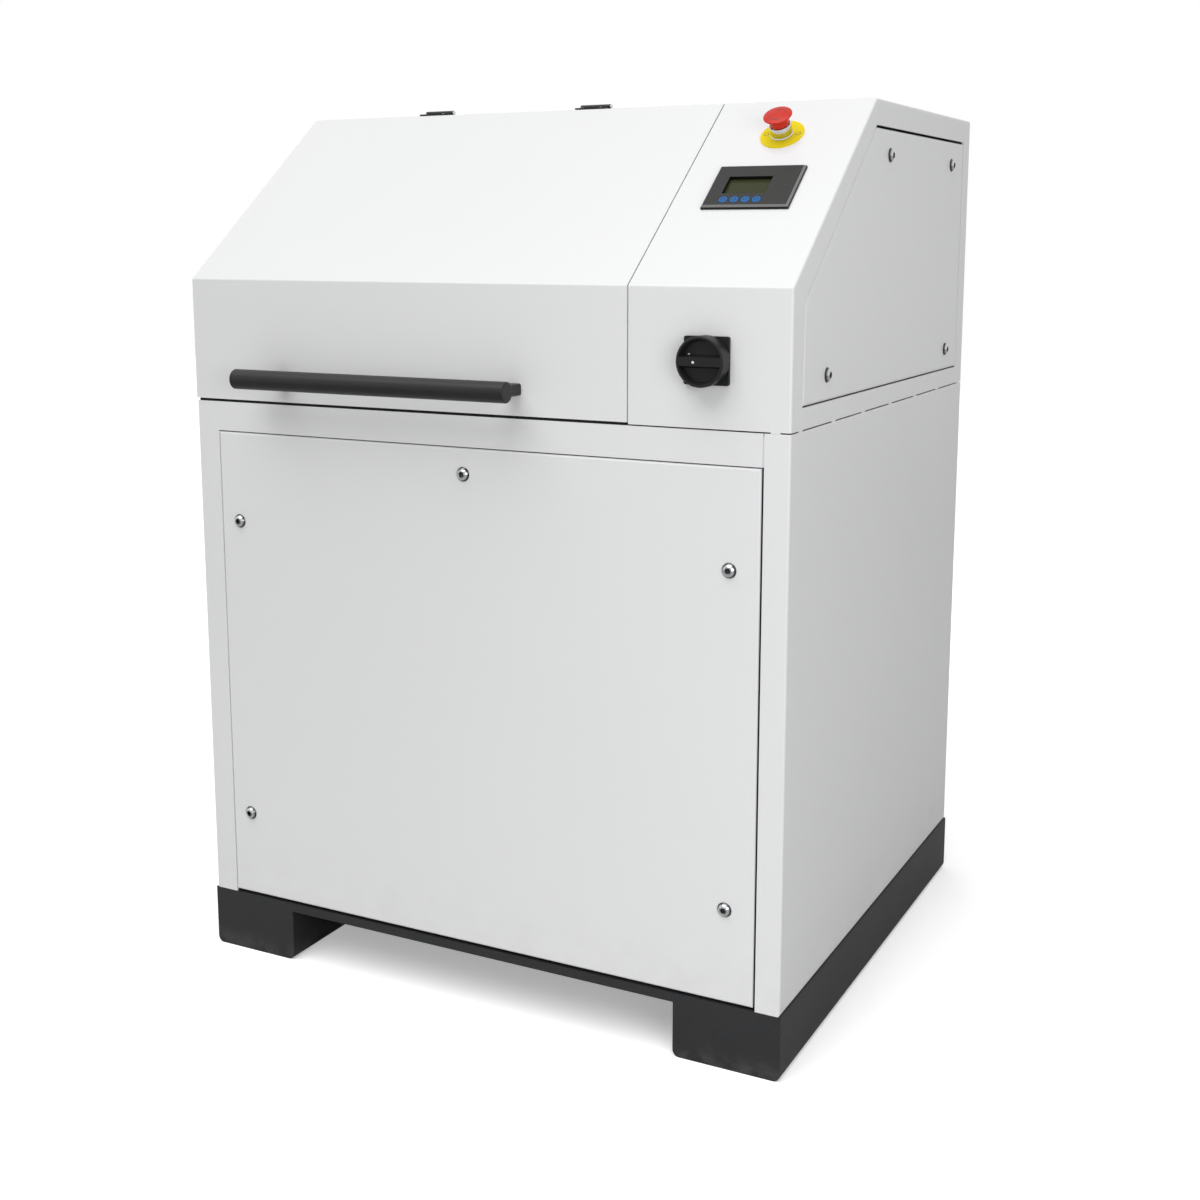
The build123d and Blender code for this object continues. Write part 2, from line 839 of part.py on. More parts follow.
# Drive: an upright motor on a stand in the base turns a shaft through a coupling. The shaft runs in
# a bearing lantern, and its upper end is set off its axis by the throw.
stand_top = 460.0
stand_half = 160.0
stand_plate = 10.0
leg = 40.0
leg_thickness = 4.0
foot = 8.0
motor_radius = 85.0
motor_flange_radius = 100.0
motor_bottom = 230.0
motor_end_wall = 15.0
rotor_radius = 51.0
rotor_shaft = 14.0
spigot = 65.0

with BuildPart() as motor_stand:
    with BuildSketch(over_mill(stand_top - stand_plate)):
        Rectangle(2 * stand_half, 2 * stand_half)
        Circle(spigot + clearance, mode=Mode.SUBTRACT)
    extrude(amount=stand_plate)
    for x_way in (-1, 1):
        for y_way in (-1, 1):
            middle = stand_half - leg_thickness / 2
            with BuildSketch(over_mill(plinth_height)):
                with BuildLine():
                    Polyline(
                        (x_way * middle, y_way * (stand_half - leg)),
                        (x_way * middle, y_way * middle),
                        (x_way * (stand_half - leg), y_way * middle),
                    )
                trace(line_width=leg_thickness)
            extrude(amount=stand_top - stand_plate - plinth_height)
            with BuildSketch(over_mill(plinth_height)):
                with Locations((x_way * (stand_half - leg / 2), y_way * (stand_half - leg / 2))):
                    Rectangle(leg + 20, leg + 20)
            extrude(amount=foot)
finish(motor_stand, "motor_stand")

motor_flange = stand_top - stand_plate
rib_count = 18
rib_depth = 12.0
rib_thickness = 3.0

with BuildPart() as motor_housing:
    add(
        turned(
            [
                (rotor_shaft + clearance, motor_bottom),
                (motor_radius, motor_bottom),
                (motor_radius, motor_flange - 10),
                (motor_flange_radius, motor_flange - 10),
                (motor_flange_radius, motor_flange),
                (spigot, motor_flange),
                (spigot, motor_flange + 5),
                (rotor_shaft + clearance, motor_flange + 5),
                (rotor_shaft + clearance, motor_flange - motor_end_wall),
                (rotor_radius + 1, motor_flange - motor_end_wall),
                (rotor_radius + 1, motor_bottom + motor_end_wall),
                (rotor_shaft + clearance, motor_bottom + motor_end_wall),
            ]
        )
    )
    with BuildSketch(over_mill(motor_bottom + motor_end_wall)):
        with PolarLocations(motor_radius + 4, rib_count):
            Rectangle(rib_depth, rib_thickness)
    extrude(amount=motor_flange - motor_bottom - 2 * motor_end_wall)
finish(motor_housing, "motor_housing")

shaft_bottom = 178.0
coupling_bottom = 470.0
coupling_middle = 502.0
coupling_gap = 12.0
coupling_height = 76.0
fan_radius = 75.0
fan_bottom = 186.0
fan_plate = 4.0
blade_count = 8
blade_height = 26.0
blade_length = 44.0
blade_thickness = 3.0

with BuildPart() as motor_rotor:
    add(ring(rotor_shaft, 0, shaft_bottom, coupling_middle))
    add(ring(rotor_radius, 0, motor_bottom + 25, motor_flange - 30))
    add(ring(fan_radius, 0, fan_bottom, fan_bottom + fan_plate))
    with BuildSketch(over_mill(fan_bottom + fan_plate)):
        with PolarLocations(fan_radius - blade_length / 2 - 3, blade_count):
            Rectangle(blade_length, blade_thickness)
    extrude(amount=blade_height)
finish(motor_rotor, "motor_rotor")

cowl_bottom = 160.0
air_slots = 16

with BuildPart() as motor_cowl:
    add(ring(motor_radius + sheet, motor_radius + running, cowl_bottom, motor_bottom + 12))
    with BuildSketch(over_mill(cowl_bottom)):
        Circle(motor_radius + sheet)
        Circle(20, mode=Mode.SUBTRACT)
        with PolarLocations(52, air_slots):
            Rectangle(46, 5, mode=Mode.SUBTRACT)
    extrude(amount=sheet)
finish(motor_cowl, "motor_cowl")

# Coupling: two metal hubs with a rubber spider between them.
journal = 20.0
coupling_radius = 32.0
journal_bottom = coupling_middle + coupling_gap

with BuildPart() as shaft_coupling:
    add(ring(coupling_radius, rotor_shaft + seated, coupling_bottom, coupling_middle))
    add(ring(coupling_radius - 2, 0, coupling_middle, journal_bottom))
    add(ring(coupling_radius, journal + seated, journal_bottom, coupling_bottom + coupling_height))
finish(shaft_coupling, "shaft_coupling")

# Lantern: a bell with windows that carries the shaft's two lower bearings over the coupling.
lantern_top = 614.0
lantern_radius = 80.0
lantern_flange = 110.0
lower_bearing = 40.0
bearing_seat = 44.0

with BuildPart() as drive_lantern:
    add(
        turned(
            [
                (spigot + 7, stand_top),
                (lantern_flange, stand_top),
                (lantern_flange, stand_top + 10),
                (lantern_radius, stand_top + 10),
                (lantern_radius, lantern_top),
                (lower_bearing, lantern_top),
                (lower_bearing, lantern_top - bearing_seat),
                (journal + 8, lantern_top - bearing_seat),
                (journal + 8, lantern_top - bearing_seat - 6),
                (spigot + 7, lantern_top - bearing_seat - 6),
            ]
        )
    )
    with Locations((mill_x, mill_y, stand_top + 55)):
        Box(3 * lantern_radius, 70, 60, mode=Mode.SUBTRACT)
        Box(70, 3 * lantern_radius, 60, mode=Mode.SUBTRACT)
finish(drive_lantern, "drive_lantern")


def bearing(outer, inner, low, high):
    """A ball bearing seen as one grooved ring: the grooves stand for the gap between its races."""
    mean = (outer + inner) / 2
    groove = (outer - inner) / 6
    return turned(
        [
            (inner, low),
            (mean - groove, low),
            (mean - groove, low + 2),
            (mean + groove, low + 2),
            (mean + groove, low),
            (outer, low),
            (outer, high),
            (mean + groove, high),
            (mean + groove, high - 2),
            (mean - groove, high - 2),
            (mean - groove, high),
            (inner, high),
        ]
    )


with BuildPart() as lantern_bearings:
    for low in (lantern_top - bearing_seat, lantern_top - 20):
        add(bearing(lower_bearing - seated, journal, low, low + 18))
finish(lantern_bearings, "lantern_bearings")

# Eccentric shaft: a straight journal below, a seat for the counterweight and, above that, the pin
# that is set off its axis and carries the table.
pin_radius = 25.0
seat_radius = 32.0
hub_bottom = 700.0
seat_bottom = lantern_top + 8
pin_top = 818.0
weight_radius = 110.0
weight_height = 45.0
pin_x = mill_x + throw

with BuildPart() as eccentric_shaft:
    add(ring(journal - running, 0, journal_bottom, seat_bottom))
    add(ring(seat_radius, 0, seat_bottom, hub_bottom - 10))
    add(ring(pin_radius - running, 0, hub_bottom - 10, pin_top, x=pin_x))
finish(eccentric_shaft, "eccentric_shaft")

with BuildPart() as counterweight:
    with BuildSketch(over_mill(seat_bottom + 10)):
        Circle(weight_radius)
        with Locations((weight_radius + 10, 0)):
            Rectangle(2 * weight_radius, 3 * weight_radius, mode=Mode.SUBTRACT)
        Circle(seat_radius + 16)
        Circle(seat_radius + seated, mode=Mode.SUBTRACT)
    extrude(amount=weight_height)
finish(counterweight, "counterweight")


# Vibrating table: a round steel plate with a bearing hub below and a locating ring for the jar on top.
# It hangs on the eccentric pin and is carried by six coil springs.
table_thickness = 20.0
table_bottom = table_top - table_thickness
hub_radius = 75.0
hub_bearing = 55.0
spring_count = 6
spring_circle = 150.0
seat_height = 10.0
coil_radius = 19.5
wire_radius = 2.5
coil_turns = 5.5
spring_seat = coil_radius - wire_radius - throw - 1
carrier_top = 707.0
jar_radius = 110.0
jar_ring_inner = jar_radius + 1
jar_ring_outer = jar_radius + 12
jar_ring_height = 5.0

with BuildPart() as vibrating_table:
    half_section = [
        (0, table_bottom - 10),
        (hub_bearing, table_bottom - 10),
        (hub_bearing, hub_bottom),
        (hub_radius, hub_bottom),
        (hub_radius, table_bottom),
        (table_radius, table_bottom),
        (table_radius, table_top),
        (jar_ring_outer, table_top),
        (jar_ring_outer, table_top + jar_ring_height),
        (jar_ring_inner, table_top + jar_ring_height),
        (jar_ring_inner, table_top),
        (0, table_top),
    ]
    add(turned(half_section, section_at(pin_x, mill_y)))
    with BuildSketch(Plane.XY.offset(table_bottom - seat_height)):
        with Locations((pin_x, mill_y)):
            with PolarLocations(spring_circle, spring_count, start_angle=30):
                Circle(spring_seat)
    extrude(amount=seat_height)
finish(vibrating_table, "vibrating_table")

with BuildPart() as table_bearings:
    for low in (hub_bottom + 3, table_bottom - 40):
        add(Pos(throw, 0, 0) * bearing(hub_bearing - seated, pin_radius, low, low + 27))
finish(table_bearings, "table_bearings")

# Spring carrier: a ring plate hung from the deck on four bolts, with a seat for each spring.
carrier_radius = 255.0
carrier_hole = 100.0
carrier_thickness = 12.0
carrier_bolt_circle = 235.0
carrier_bolt = 12.0

with BuildPart() as spring_carrier:
    add(ring(carrier_radius, carrier_hole, carrier_top - carrier_thickness, carrier_top))
    with BuildSketch(over_mill(carrier_top)):
        with PolarLocations(spring_circle, spring_count, start_angle=30):
            Circle(spring_seat)
    extrude(amount=seat_height)
    with BuildSketch(over_mill(carrier_top)):
        with PolarLocations(carrier_bolt_circle, 4, start_angle=45):
            Circle(carrier_bolt)
    extrude(amount=deck_height - deck_thickness - carrier_top)
finish(spring_carrier, "spring_carrier")

with BuildPart() as support_springs:
    spring_low = carrier_top + wire_radius + 0.1
    spring_high = table_bottom - wire_radius - 0.1
    spring_rise = spring_high - spring_low
    with BuildPart(mode=Mode.PRIVATE) as coil:
        with BuildLine() as turns:
            Helix(pitch=spring_rise / coil_turns, height=spring_rise, radius=coil_radius)
        with BuildSketch(Plane(origin=turns.line @ 0, z_dir=turns.line % 0)):
            Circle(wire_radius)
        sweep(is_frenet=True)
    for place in PolarLocations(spring_circle, spring_count, start_angle=30):
        add(Pos(mill_x, mill_y, spring_low) * place * coil.part)
finish(support_springs, "support_springs")


# Grinding set: a thick-walled jar with a flat lid, and inside it a loose ring round a loose disc.
jar_height = 88.0
jar_wall = 19.0
jar_floor = 12.0
jar_lid_height = 17.0
jar_top = table_top + jar_height
lid_top = jar_top + jar_lid_height
jar_bore = jar_radius - jar_wall
stone_bottom = table_top + jar_floor + clearance
stone_height = 56.0
ring_outer = 70.0
ring_inner = 56.0
disc_radius = 39.0


def about_pin(points):
    """A body turned about the axis of the eccentric pin."""
    return turned(points, section_at(pin_x, mill_y))


with BuildPart() as jar_base:
    add(
        about_pin(
            [
                (0, table_top),
                (jar_radius - 3, table_top),
                (jar_radius, table_top + 3),
                (jar_radius, jar_top),
                (jar_bore, jar_top),
                (jar_bore, table_top + jar_floor),
                (0, table_top + jar_floor),
            ]
        )
    )
finish(jar_base, "jar_base")

with BuildPart() as jar_lid:
    add(
        about_pin(
            [
                (0, jar_top - 8),
                (jar_bore - 0.5, jar_top - 8),
                (jar_bore - 0.5, jar_top),
                (jar_radius + 2, jar_top),
                (jar_radius + 2, lid_top - 4),
                (jar_radius - 2, lid_top),
                (0, lid_top),
            ]
        )
    )
finish(jar_lid, "jar_lid")

with BuildPart() as grinding_ring:
    add(ring(ring_outer, ring_inner, stone_bottom, stone_bottom + stone_height, x=pin_x))
    chamfer(grinding_ring.edges().filter_by(GeomType.CIRCLE), 2)
finish(grinding_ring, "grinding_ring")

with BuildPart() as grinding_disc:
    add(ring(disc_radius, 0, stone_bottom, stone_bottom + stone_height, x=pin_x))
    chamfer(grinding_disc.edges().filter_by(GeomType.CIRCLE), 2)
finish(grinding_disc, "grinding_disc")


# Clamp: a bar that turns on the left post and hooks round the right one, with a screwed spindle,
# a handwheel and a pressure pad that holds the jar's lid down.
post_reach = 150.0
bar_bottom = 985.0
bar_thickness = 22.0
bar_top = bar_bottom + bar_thickness
neck_radius = 8.0
post_radius = 12.0
post_foot = 20.0
post_head = 14.0
bar_width = 38.0
spindle_radius = 10.0
slot_radius = neck_radius + 1.5

with BuildPart() as clamp_posts:
    for way in (-1, 1):
        x = pin_x + way * post_reach
        add(ring(post_foot, 0, table_top, table_top + 8, x=x))
        add(ring(post_radius, 0, table_top, bar_bottom - clearance, x=x))
        add(ring(neck_radius, 0, bar_bottom - clearance, bar_top + clearance, x=x))
        add(ring(post_head, 0, bar_top + clearance, bar_top + 10, x=x))
finish(clamp_posts, "clamp_posts")

with BuildPart() as clamp_bar:
    with BuildSketch(Plane.XY.offset(bar_bottom)):
        with Locations((pin_x, mill_y)):
            with Locations((10, 0)):
                Rectangle(2 * post_reach + 20, bar_width)
            with Locations((-post_reach, 0)):
                Circle(22)
            Circle(34)
            with Locations((-post_reach, 0)):
                Circle(neck_radius + running, mode=Mode.SUBTRACT)
            Circle(spindle_radius + clearance, mode=Mode.SUBTRACT)
            with Locations((post_reach - 0.5, 0)):
                Circle(slot_radius, mode=Mode.SUBTRACT)
            with Locations((post_reach - 0.5, -20)):
                Rectangle(2 * slot_radius, 40, mode=Mode.SUBTRACT)
    extrude(amount=bar_thickness)
    fillet(clamp_bar.edges().filter_by(Axis.Z).sort_by(Axis.X)[-2:], 6)
finish(clamp_bar, "clamp_bar")

pad_top = lid_top + 13.0
pad_radius = 35.0
pad_collar = 17.0
spindle_foot = 12.0

with BuildPart() as clamp_pad:
    add(ring(pad_radius, 0, lid_top + clearance, pad_top, x=pin_x))
    add(ring(pad_collar, spindle_foot + clearance, pad_top, pad_top + 7, x=pin_x))
finish(clamp_pad, "clamp_pad")

wheel_z = 1046.0
wheel_radius = 52.0
wheel_rim = 7.5
wheel_hub = 18.0
spoke_count = 3

with BuildPart() as clamp_spindle:
    add(ring(spindle_foot, 0, pad_top + clearance, pad_top + 6, x=pin_x))
    add(ring(spindle_radius, 0, pad_top + 6, wheel_z + 12, x=pin_x))
finish(clamp_spindle, "clamp_spindle")

with BuildPart() as clamp_handwheel:
    add(ring(wheel_hub, spindle_radius + seated, wheel_z - 12, wheel_z + 8, x=pin_x))
    with BuildSketch(section_at(pin_x, mill_y)):
        with Locations((wheel_radius, wheel_z)):
            Circle(wheel_rim)
    revolve(axis=Axis((pin_x, mill_y, 0), (0, 0, 1)))
    with BuildSketch(Plane.XY.offset(wheel_z - 4)):
        with Locations((pin_x, mill_y)):
            with PolarLocations((wheel_radius + wheel_hub) / 2 - 2, spoke_count):
                Rectangle(wheel_radius - wheel_hub, 12)
    extrude(amount=8)
finish(clamp_handwheel, "clamp_handwheel")


# Operating panel on the slope: a raised frame with a sunken screen and four round keys.
bezel_width = 120.0
bezel_length = 87.0
bezel_height = 6.0
panel_depth_behind = 24.0
screen_width = 60.0
screen_length = 35.5
screen_s = 194.8
screen_x = left + 799.0
screen_pocket = 6.3
screen_thickness = 1.5
key_radius = 6.2
key_s = 164.5
key_places = [left + 775.1, left + 790.3, left + 805.5, left + 820.7]
key_pocket = 3.5
key_height = 3.0
out_of_slope = Axis((0, 0, 0), slope.z_dir)

with BuildPart() as display_bezel:
    with BuildSketch(slope):
        with Locations((display_x, display_s)):
            Rectangle(bezel_width, bezel_length)
    extrude(amount=bezel_height)
    chamfer(display_bezel.faces().sort_by(out_of_slope)[-1].edges(), 3)
    with BuildSketch(slope):
        with Locations((display_x, display_s)):
            Rectangle(panel_cut_width - 2, panel_cut_length - 2)
    extrude(amount=-panel_depth_behind)
    with BuildSketch(slope.offset(bezel_height)):
        with Locations(*[(x, key_s) for x in key_places]):
            Circle(key_radius + clearance)
    extrude(amount=-key_pocket, mode=Mode.SUBTRACT)
    with BuildSketch(slope.offset(bezel_height)):
        with Locations((screen_x, screen_s)):
            Rectangle(screen_width + 0.2, screen_length + 0.2)
    extrude(amount=-screen_pocket, mode=Mode.SUBTRACT)
finish(display_bezel, "display_bezel")

with BuildPart() as display_screen:
    with BuildSketch(slope.offset(bezel_height - screen_pocket)):
        with Locations((screen_x, screen_s)):
            Rectangle(screen_width, screen_length)
    extrude(amount=screen_thickness)
finish(display_screen, "display_screen")

for number, key_x in enumerate(key_places, start=1):
    with BuildPart() as display_key:
        with BuildSketch(slope.offset(bezel_height - key_pocket + 1)):
            with Locations((key_x, key_s)):
                Circle(key_radius)
        extrude(amount=key_height)
        fillet(display_key.edges().sort_by(out_of_slope)[-1], 1)
    finish(display_key, f"display_key_{number}")


# Emergency stop: a yellow disc on the slope, a bright collar, a stem that presses in and a mushroom
# head that turns on the stem to let it out again. The head's skirt sinks into the collar.
estop_plane = slope * Pos(estop_x, estop_s, 0)
estop_section = Plane(origin=estop_plane.position, x_dir=(1, 0, 0), z_dir=-slope.y_dir)
estop_disc_radius = 30.0
estop_disc_thickness = 1.5
estop_body_radius = 14.5
estop_body_depth = 28.0
estop_stem_radius = 9.0
estop_travel = 5.0
collar_flange = 15.5
collar_lip = 15.0
collar_top = 17.0
skirt_radius = 13.2
skirt_bottom = collar_top + 0.5
skirt_top = 22.0
neck_bottom = 21.0
neck_top = 28.0
neck = 5.0
mushroom_radius = 19.5
mushroom_low = 29.8
mushroom_edge = 31.5
mushroom_top = 33.5
rim_radius = 0.8

with BuildPart() as estop_plate:
    with BuildSketch(slope):
        with Locations((estop_x, estop_s)):
            Circle(estop_disc_radius)
            Circle(estop_body_radius + 0.4, mode=Mode.SUBTRACT)
    extrude(amount=estop_disc_thickness)
finish(estop_plate, "estop_plate")

with BuildPart() as estop_collar:
    bore = estop_stem_radius + clearance
    cup = skirt_radius + 2 * clearance
    cup_floor = skirt_bottom - estop_travel - 1
    collar_section = [
        (bore, -estop_body_depth),
        (estop_thread, -estop_body_depth),
        (estop_thread, 0),
        (estop_body_radius, 0),
        (estop_body_radius, estop_disc_thickness),
        (collar_flange, estop_disc_thickness),
        (collar_flange, estop_disc_thickness + 1),
        (estop_body_radius, estop_disc_thickness + 2),
        (estop_body_radius, collar_top - 2),
        (collar_lip, collar_top - 1.5),
        (collar_lip, collar_top - 0.5),
        (collar_lip - 0.5, collar_top),
        (cup, collar_top),
        (cup, cup_floor),
        (bore, cup_floor),
    ]
    add(turned(collar_section, estop_section))
finish(estop_collar, "estop_collar")

with BuildPart() as estop_stem:
    stem_section = [
        (0, 2 - estop_body_depth),
        (estop_stem_radius, 2 - estop_body_depth),
        (estop_stem_radius, neck_bottom),
        (neck, neck_bottom),
        (neck, neck_top),
        (0, neck_top),
    ]
    add(turned(stem_section, estop_section))
finish(estop_stem, "estop_stem")

rise = mushroom_top - mushroom_edge
mushroom_dome = (mushroom_radius**2 + rise**2) / (2 * rise)
flare_out = mushroom_radius - skirt_radius
flare_up = mushroom_low - skirt_top
flare_radius = (flare_out**2 + flare_up**2) / (2 * flare_out)

with BuildPart() as estop_button:
    with BuildSketch(estop_section) as mushroom:
        with BuildLine():
            Line((0, mushroom_top), (0, neck_top + clearance))
            Line((0, neck_top + clearance), (neck + running, neck_top + clearance))
            Line((neck + running, neck_top + clearance), (neck + running, neck_bottom + clearance))
            Line((neck + running, neck_bottom + clearance), (bore, neck_bottom + clearance))
            Line((bore, neck_bottom + clearance), (bore, skirt_bottom))
            Line((bore, skirt_bottom), (skirt_radius, skirt_bottom))
            Line((skirt_radius, skirt_bottom), (skirt_radius, skirt_top))
            RadiusArc((skirt_radius, skirt_top), (mushroom_radius, mushroom_low), flare_radius)
            Line((mushroom_radius, mushroom_low), (mushroom_radius, mushroom_edge))
            RadiusArc((mushroom_radius, mushroom_edge), (0, mushroom_top), -mushroom_dome)
        make_face()
        rim = [v for v in mushroom.vertices() if v.X > mushroom_radius - 0.1]
        fillet(rim, rim_radius)
    revolve(axis=Axis(estop_section.origin, estop_section.y_dir))
finish(estop_button, "estop_button")


# Main switch: a square plate on the console's front and a round handle, whose sunken face has a
# grip bar across it.
switch_plate_size = 60.0
switch_plate_height = 5.0
switch_radius = 31.5
switch_rim = 3.5
switch_height = 27.0
switch_recess = 10.0
grip_width = 11.0

with BuildPart() as switch_plate:
    with BuildSketch(facing_front(front)):
        with Locations((switch_x, switch_z)):
            RectangleRounded(switch_plate_size, switch_plate_size, 3)
            Circle(switch_shaft + running, mode=Mode.SUBTRACT)
    extrude(amount=switch_plate_height)
finish(switch_plate, "switch_plate")

with BuildPart() as switch_handle:
    switch_base = switch_plate_height + clearance
    with BuildSketch(facing_front(front - switch_base)):
        with Locations((switch_x, switch_z)):
            Circle(switch_radius)
    extrude(amount=switch_height - switch_base)
    chamfer(switch_handle.edges().sort_by(Axis.Y)[0], 1.5)
    with BuildSketch(facing_front(front - switch_height)):
        with Locations((switch_x, switch_z)):
            Circle(switch_radius - switch_rim)
            Rectangle(2 * switch_radius, grip_width, mode=Mode.SUBTRACT)
    extrude(amount=-switch_recess, taper=15, mode=Mode.SUBTRACT)
    with BuildSketch(facing_front(front + 20)):
        with Locations((switch_x, switch_z)):
            Circle(switch_shaft)
    extrude(amount=20 + switch_plate_height + 3)
finish(switch_handle, "switch_handle")


# Cable gland in the rear panel, with the bore that the supply cable would pass through.
gland_bore = 8.0
gland_reach = 48.0
gland_inside = 12.0
gland_flange = 19.0
gland_cap = 15.0
gland_hexagon = 18.5

with BuildPart() as cable_gland:
    gland_axis = Plane(origin=(gland_x, rear, gland_z), x_dir=(1, 0, 0), z_dir=(0, 0, 1))
    gland_section = [
        (gland_bore, -gland_inside),
        (gland_thread, -gland_inside),
        (gland_thread, 0),
        (gland_flange, 0),
        (gland_flange, 10),
        (gland_cap, 12),
        (gland_cap, gland_reach - 12),
        (gland_cap - 4, gland_reach),
        (gland_bore, gland_reach),
    ]
    add(turned(gland_section, gland_axis))
    with BuildSketch(Plane(origin=(gland_x, rear, gland_z), x_dir=(1, 0, 0), z_dir=(0, 1, 0))):
        RegularPolygon(gland_hexagon, 6)
        Circle(gland_bore, mode=Mode.SUBTRACT)
    extrude(amount=gland_reach - 16)
finish(cable_gland, "cable_gland")
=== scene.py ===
import bmesh
import bpy
import math
from mathutils import Matrix, Vector


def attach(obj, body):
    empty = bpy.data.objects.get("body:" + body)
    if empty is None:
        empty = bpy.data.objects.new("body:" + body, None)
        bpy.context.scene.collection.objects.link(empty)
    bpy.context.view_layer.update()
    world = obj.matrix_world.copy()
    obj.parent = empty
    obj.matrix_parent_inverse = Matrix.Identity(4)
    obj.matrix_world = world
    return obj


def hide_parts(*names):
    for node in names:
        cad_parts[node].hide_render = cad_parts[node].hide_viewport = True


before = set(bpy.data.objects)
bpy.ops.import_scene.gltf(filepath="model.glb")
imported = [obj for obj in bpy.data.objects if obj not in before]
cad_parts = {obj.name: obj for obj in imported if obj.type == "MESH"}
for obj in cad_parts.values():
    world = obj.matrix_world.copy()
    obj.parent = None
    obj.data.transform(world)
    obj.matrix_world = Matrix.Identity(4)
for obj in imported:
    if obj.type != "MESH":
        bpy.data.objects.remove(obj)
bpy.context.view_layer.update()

# Stage
# A pale seamless floor under a white studio, with one broad lamp high at the front left, a weak
# one at the right and one behind. The camera stands at the right of the front.


class Signal:
    """The output of a shader node, which can be reckoned with like a number."""

    def __init__(self, socket):
        self.socket = socket

    def feed(self, target):
        self.socket.id_data.links.new(self.socket, target)

    @classmethod
    def node(cls, tree, kind, settings=None, sockets=None, output=0):
        """Adds any node: its settings are set first, then its sockets get values or links."""
        made = tree.nodes.new(kind)
        for name, value in (settings or {}).items():
            setattr(made, name, value)
        for name, value in (sockets or {}).items():
            target = made.inputs[name]
            if isinstance(value, Signal):
                value.feed(target)
            else:
                target.default_value = value
        return cls(made.outputs[output])

    def math(self, operation, *others):
        values = dict(enumerate((self, *others)))
        tree = self.socket.id_data
        return Signal.node(tree, "ShaderNodeMath", {"operation": operation}, values)

    def __add__(self, other):
        return self.math("ADD", other)

    def __sub__(self, other):
        return self.math("SUBTRACT", other)

    def __mul__(self, other):
        return self.math("MULTIPLY", other)

    def __truediv__(self, other):
        return self.math("DIVIDE", other)

    def __rsub__(self, other):
        return self.math("MULTIPLY", -1.0) + other

    def __rtruediv__(self, other):
        return self.math("POWER", -1.0) * other

    __radd__ = __add__
    __rmul__ = __mul__

    def ramp(self, low, high, start=0.0, end=1.0):
        """Goes smoothly from start to end while this value goes from low to high."""
        sockets = {"Value": self, "From Min": low, "From Max": high, "To Min": start, "To Max": end}
        settings = {"interpolation_type": "SMOOTHSTEP"}
        return Signal.node(self.socket.id_data, "ShaderNodeMapRange", settings, sockets)


def blend_colours(factor, first, second):
    """A colour that goes from first to second with the factor."""
    sockets = {0: factor, 6: first, 7: second}
    tree = factor.socket.id_data
    return Signal.node(tree, "ShaderNodeMix", {"data_type": "RGBA"}, sockets, output=2)


world = bpy.data.worlds.new("studio")
bpy.context.scene.world = world
world.use_nodes = True
tree = world.node_tree
tree.nodes.clear()
paths = Signal.node(tree, "ShaderNodeLightPath").socket.node.outputs
looked_at = Signal(paths["Is Camera Ray"]) + Signal(paths["Is Glossy Ray"])
looked_at = (looked_at + Signal(paths["Is Transmission Ray"])).math("MINIMUM", 1.0)
studio_light = 0.27
strength = looked_at * (1.0 - studio_light) + studio_light
sky_light = {"Color": (1, 1, 1, 1), "Strength": strength}
sky = Signal.node(tree, "ShaderNodeBackground", sockets=sky_light)
output = tree.nodes.new("ShaderNodeOutputWorld")
sky.feed(output.inputs["Surface"])

floor_mesh = bpy.data.meshes.new("floor")
reach = 9.0
corners = [(-reach, -reach, 0), (reach, -reach, 0), (reach, reach, 0), (-reach, reach, 0)]
floor_mesh.from_pydata(corners, [], [(0, 1, 2, 3)])
floor = bpy.data.objects.new("floor", floor_mesh)
bpy.context.collection.objects.link(floor)
paper = bpy.data.materials.new("studio_paper")
paper.use_nodes = True
tree = paper.node_tree
tree.nodes.clear()
paths = Signal.node(tree, "ShaderNodeLightPath").socket.node.outputs
looked_at = Signal(paths["Is Camera Ray"])
shade = blend_colours(looked_at, (0.55, 0.55, 0.55, 1), (0.95, 0.95, 0.95, 1))
matt = Signal.node(tree, "ShaderNodeBsdfDiffuse", sockets={"Color": shade})
paper_lift = 0.35
lift = looked_at * paper_lift
glow = Signal.node(tree, "ShaderNodeEmission", sockets={"Color": (1, 1, 1, 1), "Strength": lift})
both = Signal.node(tree, "ShaderNodeAddShader", sockets={0: matt, 1: glow})
both.feed(tree.nodes.new("ShaderNodeOutputMaterial").inputs["Surface"])
floor_mesh.materials.append(paper)

key_direction = Vector((0.10, 0.40, -0.91))
key = bpy.data.lights.new("key", "SUN")
key.energy = 2.1
key.angle = 1.0
key_lamp = bpy.data.objects.new("key", key)
key_lamp.rotation_mode = "QUATERNION"
key_lamp.rotation_quaternion = key_direction.to_track_quat("-Z", "Y")
bpy.context.collection.objects.link(key_lamp)


def soft_lamp(name, place, target, power, size):
    """A square lamp that shines from its place at a target and that the camera doesn't see."""
    light = bpy.data.lights.new(name, "AREA")
    light.energy = power
    light.size = size
    lamp = bpy.data.objects.new(name, light)
    lamp.location = place
    lamp.rotation_mode = "QUATERNION"
    lamp.rotation_quaternion = (Vector(target) - Vector(place)).to_track_quat("-Z", "Y")
    lamp.visible_camera = False
    bpy.context.collection.objects.link(lamp)


soft_lamp("fill", (1.9, -1.9, 1.1), (0.4, -0.2, 0.7), power=15.5, size=1.2)
soft_lamp("rear_fill", (-1.3, 2.6, 1.4), (-0.1, 0.4, 0.7), power=15.0, size=1.8)

